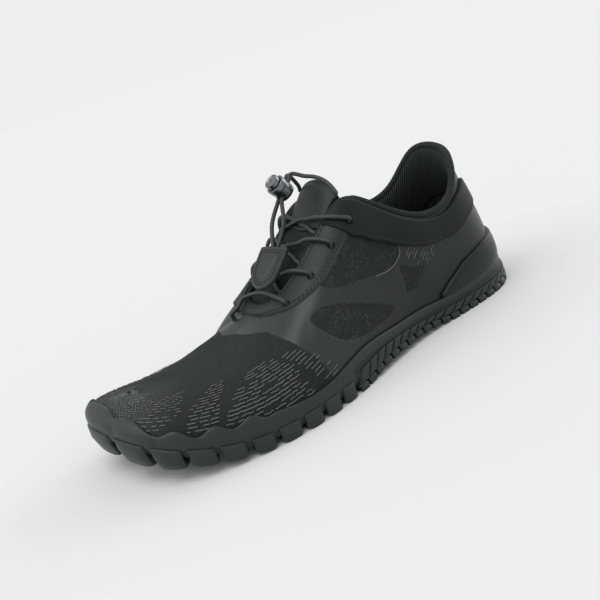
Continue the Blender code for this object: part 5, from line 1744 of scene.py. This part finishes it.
def block_mesh(rows, rounding):
    """A closed block from rows of like outlines, its sharp edges rounded."""
    rows = np.concatenate([rows, rows[:, :1]], axis=1)
    bm = joined([laid_grid("block", rows, rows[..., :2])], cap=True)
    round_edges(bm, 33, rounding, 2)
    return as_mesh("block", bm)


def edge_lug(start, end):
    """A pod on the forefoot's edge: flat on top, rounded off at both ends below."""
    t = np.linspace(-1.0, 1.0, 9)
    places = start + (end - start) * (t + 1) / 2
    bulge = LUG_EDGE * (1 - 0.30 * t ** 4)
    rise = POD_RISE * np.abs(t) ** 5
    inner, outer, face, back, root, hidden = lug_sections(places, LUG_REACH, bulge, POD_FACE * FEATHER_RISE,
                                                          rise)
    shoulder = plan_offset(places, 0.96 * bulge, outer[:, 2] + 0.62 * (face[:, 2] - outer[:, 2]))
    low = outer * 0.86 + inner * 0.14
    low[:, 2] = inner[:, 2] + 0.5 * rise
    return block_mesh(np.stack([inner, low, outer, shoulder, face, back, root, hidden], axis=1), POD_ROUNDING)


def side_rib(start, end):
    """A slanted rib of the heel and arch, on a foot that meets the floor."""
    places = np.array((start, (start + end) / 2, end))
    stations = np.abs(places)
    height = RIB_LOW + RIB_ARCH * bell(stations, RIB_ARCH_STATION, 1.3)
    slant = RIB_SLANT * np.clip(stations / 1.2, 0.0, 1.0)
    inner, outer, face, back, root, hidden = lug_sections(places, RIB_REACH, LUG_EDGE, height, 0.0, slant)
    base = outer[:, 2]
    foot_top = plan_offset(places, 0.97 * LUG_EDGE, base + 3.1 * MM)
    groove = plan_offset(places, 0.66 * LUG_EDGE, base + 3.7 * MM)
    shin = plan_offset(places - np.sign(places) * 0.3 * slant, 0.86 * LUG_EDGE, base + 4.5 * MM)
    rows = np.stack([inner, outer, foot_top, groove, shin, face, back, root, hidden], axis=1)
    return block_mesh(rows, RIB_ROUNDING)


def rib_places(side):
    """Places of the side ribs, one pitch apart along the feather line."""
    stations = np.linspace(0.0, RIB_LAST, 200)
    points = plan_offset(side * stations, 0.0, 0.0)
    run = path_run(points)
    count = round(run[-1] / RIB_PITCH)
    pitch = run[-1] / count
    places = []
    for i in range(count):
        start = np.interp(i * pitch + 0.8 * RIB_SLOT, run, stations)
        end = np.interp((i + 1) * pitch - 0.8 * RIB_SLOT, run, stations)
        places.append((side * float(start), side * float(end)))
    return places


def field_lug(centre_x, centre_y, length, width):
    """A six-sided lug of the tread, with its edges rounded."""
    rows = []
    for grow, low in ((1.0, True), (1.12, False)):
        x = centre_x + grow * LUG_OUTLINE[:, 0] * length
        y = centre_y + grow * LUG_OUTLINE[:, 1] * width
        z = tread(x) if low else underside(x) + 1.28 * LUG_DEPTH
        rows.append(np.stack([x - REST_X, y, z], axis=1))
    return block_mesh(np.array(rows), LUG_ROUNDING)


def tread_field():
    """Centres and sizes of the lugs inside the edge blocks, from the heel's edge."""
    lugs = [(REST_X, 0.0, HEEL_LUG, HEEL_LUG)]
    for share_x in FIELD_ROWS:
        x = share_x * LENGTH
        edges = []
        for side, name in ((1, "lat_x"), (-1, "med_x")):
            station = float(np.interp(x, [row[name] for row in ROWS], range(len(ROWS))))
            edges.append(plan_offset([side * station], 0.0, 0.0)[0, 1] - side * FIELD_MARGIN)
        room = edges[0] - edges[1]
        count = max(1, int(room / FIELD_PITCH))
        pitch = room / count
        for i in range(count):
            y = edges[1] + (i + 0.5) * pitch
            lugs.append((x, y, FIELD_LUG, min(FIELD_LUG, pitch - FIELD_GROOVE)))
    return lugs


def build_outsole():
    """Rubber sole: cup with lobed rand, pods round the forefoot, ribs round the heel, and the tread."""
    bm = sole_cup()
    meshes = []
    for start, end in EDGE_LUGS:
        meshes.append(edge_lug(start, end))
        if end < LAST:
            meshes.append(edge_lug(-start, -end))
    for side in (1, -1):
        meshes += [side_rib(start, end) for start, end in rib_places(side)]
    meshes += [field_lug(*lug) for lug in tread_field()]
    for mesh in meshes:
        pour(mesh, bm)
    bmesh.ops.recalc_face_normals(bm, faces=bm.faces)
    sole = piece("outsole_rubber", bm, RUBBER)
    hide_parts("outsole")


# Raised knit marks

def field_rows(name, pitch, angle):
    """Straight rows across a field, as pairs of metres along and up where they enter and leave it."""
    places, shares = np.transpose(FIELDS[name])
    past = 2 * MIDDLE_RUN[-1] - run_at(2 * LAST - places)
    along = np.where(places > LAST, past, run_at(places))
    corners = np.stack([along, shares * column_length(places)], axis=1)
    turn = np.array(((math.cos(angle), math.sin(angle)), (-math.sin(angle), math.cos(angle))))
    turned = corners @ turn.T
    rows = []
    for level in np.arange(turned[:, 1].min() + pitch / 2, turned[:, 1].max(), pitch):
        hits = []
        for (x1, y1), (x2, y2) in zip(turned, np.roll(turned, -1, axis=0)):
            if (y1 > level) != (y2 > level):
                hits.append(x1 + (level - y1) / (y2 - y1) * (x2 - x1))
        hits.sort()
        rows += [(np.array((first, level)) @ turn, np.array((last, level)) @ turn)
                 for first, last in zip(hits[::2], hits[1::2])]
    return rows


def unwrapped(along):
    """Place for metres along, past the toe too."""
    end = MIDDLE_RUN[-1]
    return np.where(along > end, 2 * LAST - place_at(2 * end - along), place_at(along))


def mark_path(start, end, side, count, wobble, phase):
    """Points with normals along a mark on one side of the upper, from start to end in metres along and up."""
    t = np.linspace(0.0, 1.0, count)[:, None]
    length = np.linalg.norm(end - start)
    across = np.array((-(end - start)[1], (end - start)[0])) / length
    line = start + (end - start) * t
    line = line + across * wobble * np.sin(2 * math.pi * t * length / WAVE_LENGTH + phase)
    places = unwrapped(line[:, 0])
    shares = np.clip(line[:, 1] / column_length(places), 0.02, 0.98)
    return share_line(side * places, shares, MARK_LIFT)


def build_knit_marks():
    """Raised yarn marks of the toe, vamp, quarter and ankle; the medial side's waves are straight."""
    random = np.random.default_rng(12)
    marks = bmesh.new()

    def dashed(name, pitch, angle, length, gap, width, keep, wobble=0.0):
        for first, last in field_rows(name, pitch, math.radians(angle)):
            total = np.linalg.norm(last - first)
            if total < length * 0.5:
                continue
            way = (last - first) / total
            at = random.uniform(0.0, length + gap) - length
            while at < total:
                a, b = max(at, 0.0), min(at + length * random.uniform(0.7, 1.2), total)
                if b - a > 0.35 * length and random.random() < keep:
                    phase = random.uniform(0.0, 6.0)
                    for side in (1, -1):
                        path = mark_path(first + way * a, first + way * b, side, 9 if wobble else 5,
                                         wobble if side > 0 else 0.0, phase)
                        pour(yarn_tube(*path, width / 2), marks)
                at += length + gap * random.uniform(0.8, 1.5)

    dashed("toe_specks", 1.5 * MM, -14, 1.3 * MM, 0.9 * MM, 0.65 * MM, 0.9)
    dashed("toe_dashes", 2.1 * MM, -13, 3.4 * MM, 1.2 * MM, 0.50 * MM, 0.9)
    dashed("vamp_dashes", 2.0 * MM, -7, 4.4 * MM, 1.1 * MM, 0.55 * MM, 0.97)
    dashed("waves", 2.0 * MM, -5, 6.5 * MM, 0.7 * MM, 0.55 * MM, 0.97, 0.18 * MM)
    dashed("slashes", 2.4 * MM, -13, 7.0 * MM, 1.6 * MM, 0.50 * MM, 0.9)
    dashed("ankle_dashes", 2.1 * MM, -42, 7.0 * MM, 2.0 * MM, 0.45 * MM, 0.95)
    for side in (1, -1):
        arc = smooth_path([(side * place, share, 0.0) for place, share in WINDOW_ARC], 30)
        pour(yarn_tube(*share_line(arc[:, 0], arc[:, 1], MARK_LIFT), 0.3 * MM), marks)
    bmesh.ops.holes_fill(marks, edges=[edge for edge in marks.edges if edge.is_boundary], sides=0)
    bmesh.ops.recalc_face_normals(marks, faces=marks.faces)
    shade_smooth(marks)
    piece("knit_marks", marks, KNIT_MARK)


# Cord lock and tab

def turned_solid(profile, segments, place):
    """A closed turned solid; the profile's first and last points lie on the axis."""
    profile = np.array(profile)
    angles = np.linspace(0.0, 2 * math.pi, segments + 1)
    grid = np.stack([profile[:, :1] * np.cos(angles), profile[:, :1] * np.sin(angles),
                     np.broadcast_to(profile[:, 1:], (len(profile), segments + 1))], axis=2)
    matrix = np.array(place)
    grid = grid @ matrix[:3, :3].T + matrix[:3, 3]
    uvs = np.stack(np.broadcast_arrays(angles[None] * 5 * MM, profile[:, 1:]), axis=2)
    return joined([laid_grid("turned", grid, uvs)])


def frame_matrix(centre, axis, way):
    side = axis.cross(way)
    return Matrix.Translation(centre) @ Matrix((way, side, axis)).transposed().to_4x4()


def rounded_profile(corners, radius, steps=5):
    """A profile with its inner corners rounded."""
    corners = [Vector(corner) for corner in corners]
    points = [corners[0]]
    for before, corner, after in zip(corners, corners[1:], corners[2:]):
        reach = min(radius, (before - corner).length * 0.45, (after - corner).length * 0.45)
        start = corner + (before - corner).normalized() * reach
        end = corner + (after - corner).normalized() * reach
        for t in np.linspace(0.0, 1.0, steps):
            points.append(start * (1 - t) ** 2 + corner * 2 * t * (1 - t) + end * t * t)
    points.append(corners[-1])
    return [tuple(point) for point in points]


# Corners of the lock's body and button: distance inside their radius, and height
LOCK_FOOT = ((0.6 * MM, 0.0), (0.3 * MM, 1.2 * MM), (0.3 * MM, 6.6 * MM), (0.0, 7.0 * MM), (0.0, LOCK_LENGTH))
BUTTON_DISH = ((0.0, 0.0), (0.0, BUTTON_LENGTH), (0.9 * MM, BUTTON_LENGTH),
               (1.6 * MM, BUTTON_LENGTH - 0.55 * MM), (3.2 * MM, BUTTON_LENGTH - 0.8 * MM))
SLOT_ROUND = 1.6 * MM


def slot_cutter(place):
    """Cutter for the slot that the two laces run through."""
    turns = np.radians(np.arange(-90, 91, 15))
    outline = [(side * (LACE_SPACING / 2 + SLOT_ROUND * math.cos(turn)), side * SLOT_ROUND * math.sin(turn))
               for side in (1, -1) for turn in turns]
    rows = np.array([[tuple(place @ Vector((reach, y, LOCK_SLOT_HEIGHT + z))) for y, z in outline]
                     for reach in (-1.3 * LOCK_RADIUS, 1.3 * LOCK_RADIUS)])
    rows = np.concatenate([rows, rows[:, :1]], axis=1)
    bm = joined([laid_grid("slot", rows, rows[..., :2])], cap=True)
    return in_scene("lock_slot", as_mesh("lock_slot", bm))


def build_lock():
    """Metal cord lock: body with a slot for the laces, and its dished button."""
    centre, axis, way = lock_frame()
    place = frame_matrix(centre - axis * LOCK_SLOT_HEIGHT, axis, way)
    bore = BUTTON_RADIUS + GAP
    body = [(0.0, 0.0)] + [(LOCK_RADIUS - inside, height) for inside, height in LOCK_FOOT]
    body += [(bore, LOCK_LENGTH), (bore, LOCK_FLOOR), (0.0, LOCK_FLOOR)]
    bm = turned_solid(rounded_profile(body, 0.55 * MM), 72, place)
    lock = piece("cord_lock_body", bm, METAL)
    slot = slot_cutter(place)
    cut(lock, slot)
    bpy.data.objects.remove(slot)
    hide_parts("cord_lock")
    bottom = centre + axis * (LOCK_FLOOR + GAP + LOCK_TRAVEL - LOCK_SLOT_HEIGHT)
    button = [(0.0, 0.0)] + [(BUTTON_RADIUS - inside, height) for inside, height in BUTTON_DISH]
    button.append((0.0, BUTTON_LENGTH - 0.85 * MM))
    bm = turned_solid(rounded_profile(button, 0.5 * MM), 64, frame_matrix(bottom, axis, way))
    cap = piece("cord_lock_push_button", bm, METAL, body="button")
    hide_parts("cord_lock_button")
    return lock, cap


# The tab's outline in tab lengths and widths, and its face from the edge inwards: scale, and lift in half
# thicknesses
TAB_OUTLINE = ((-.06, -.47), (-.075, -.25), (-.08, 0.0), (-.075, .25), (-.06, .47), (.03, .50), (.32, .495),
               (.60, .47), (.80, .39), (.93, .23), (1.0, 0.0), (.93, -.23), (.80, -.39), (.60, -.47),
               (.32, -.495), (.03, -.50))
TAB_FACE = ((1.0, 0.0), (.985, .55), (.96, .82), (.92, .98), (.87, 1.02), (.82, .78), (.77, .98), (.70, .78),
            (.62, 1.18), (.50, 1.46), (.34, 1.56), (.17, 1.60), (0.0, 1.61))
TAB_SEAMS = (.82, .70)
TAB_SEAM_LIFT = .86


def build_tab():
    """Shield-shaped sleeve of stitched synthetic leather that holds the laces' ends."""
    top, down, across = (np.array(vector) for vector in tab_frame())
    out = np.cross(down, across)
    outline = round_outline(TAB_OUTLINE, 6) * (TAB_LENGTH, TAB_WIDTH)
    outline = np.concatenate([outline, outline[:1]])
    middle = np.array((0.46 * TAB_LENGTH, 0.0))

    def ring(scale, lift):
        flat = middle + (outline - middle) * scale
        return (top + np.outer(flat[:, 0], down) + np.outer(flat[:, 1], across)
                + out * lift * TAB_THICKNESS / 2)

    face = [ring(scale, lift) for scale, lift in TAB_FACE]
    back = [ring(scale, -min(lift, 1.0)) for scale, lift in TAB_FACE]
    grid = np.array(face[::-1] + back[1:])
    edge = [(1 - scale) * 9 * MM for scale, _ in TAB_FACE]
    marks = {"edge": np.repeat(np.reshape(edge[::-1] + edge[1:], (-1, 1)), grid.shape[1], axis=1)}
    bm = joined([laid_grid("tab", grid, grid[..., :2], marks)])
    tab = piece("lace_tab_sleeve", bm, TAB_LEATHER)
    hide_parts("lace_tab")
    runs = [(ring(scale, TAB_SEAM_LIFT), np.tile(out, (len(outline), 1))) for scale in TAB_SEAMS]
    thread_stitches("lace_tab_stitching", runs, 1.4 * MM, 0.8 * MM, 0.85 * MM, 0.9 * MM)
    return tab


# Stage and light

SKY = 0.86                    # brightness of the white surroundings
FLOOR_TONE = 0.630
FLOOR_RADIUS = 40.0
# Lights: the way each comes from in the camera's right, up and back, its spread in degrees and its power
SUNS = {
    "key_light": ((-0.45, 0.80, 0.55), 40.0, 1.05),
    "front_light": ((-0.90, 0.20, 0.40), 50.0, 0.75),
    "rim_light": ((1.0, 0.90, -0.50), 40.0, 0.8),
}


def build_stage():
    """A pale floor that runs out to the horizon."""
    bm = bmesh.new()
    bmesh.ops.create_circle(bm, cap_ends=True, segments=96, radius=FLOOR_RADIUS)
    pale = (FLOOR_TONE,) * 3
    nodes = Nodes("pale_floor", pale, 1.0, specular=0.0)
    cloud = nodes.noise(nodes.place.outputs["Object"], 2.0, 2.0)
    nodes.colour(nodes.mix(cloud, *shades(pale, 0.995, 1.005)))
    floor = in_scene("studio_floor", as_mesh("studio_floor", bm))
    floor.data.materials.append(nodes.material)


def build_light():
    """White surroundings and wide soft suns."""
    world = bpy.data.worlds.new("studio")
    world.use_nodes = True
    world.node_tree.nodes["Background"].inputs["Color"].default_value = (1.0, 1.0, 1.0, 1.0)
    world.node_tree.nodes["Background"].inputs["Strength"].default_value = SKY
    bpy.context.scene.world = world
    for name, ((right, up, back), spread, power) in SUNS.items():
        source = (VIEW_RIGHT * right + VIEW_UP * up + VIEW_BACK * back).normalized()
        light = bpy.data.lights.new(name, "SUN")
        light.energy = power
        light.angle = math.radians(spread)
        made = in_scene(name, light)
        made.location = CAMERA_TARGET + source
        made.rotation_euler = source.to_track_quat("Z", "Y").to_euler()


bpy.context.scene.view_settings.view_transform = "Standard"
lace_ends = build_lace_ends()
build_lace()
build_upper()
build_rim_roll()
build_collar_padding()
pins = eyelet_pins()
build_eyestay(pins)
build_collar_band(pins)
bpy.data.objects.remove(pins)
build_counter()
build_heel_patch()
build_tongue()
build_insole()
build_outsole()
build_knit_marks()
lock, cap = build_lock()
tab = build_tab()
build_stage()
build_light()
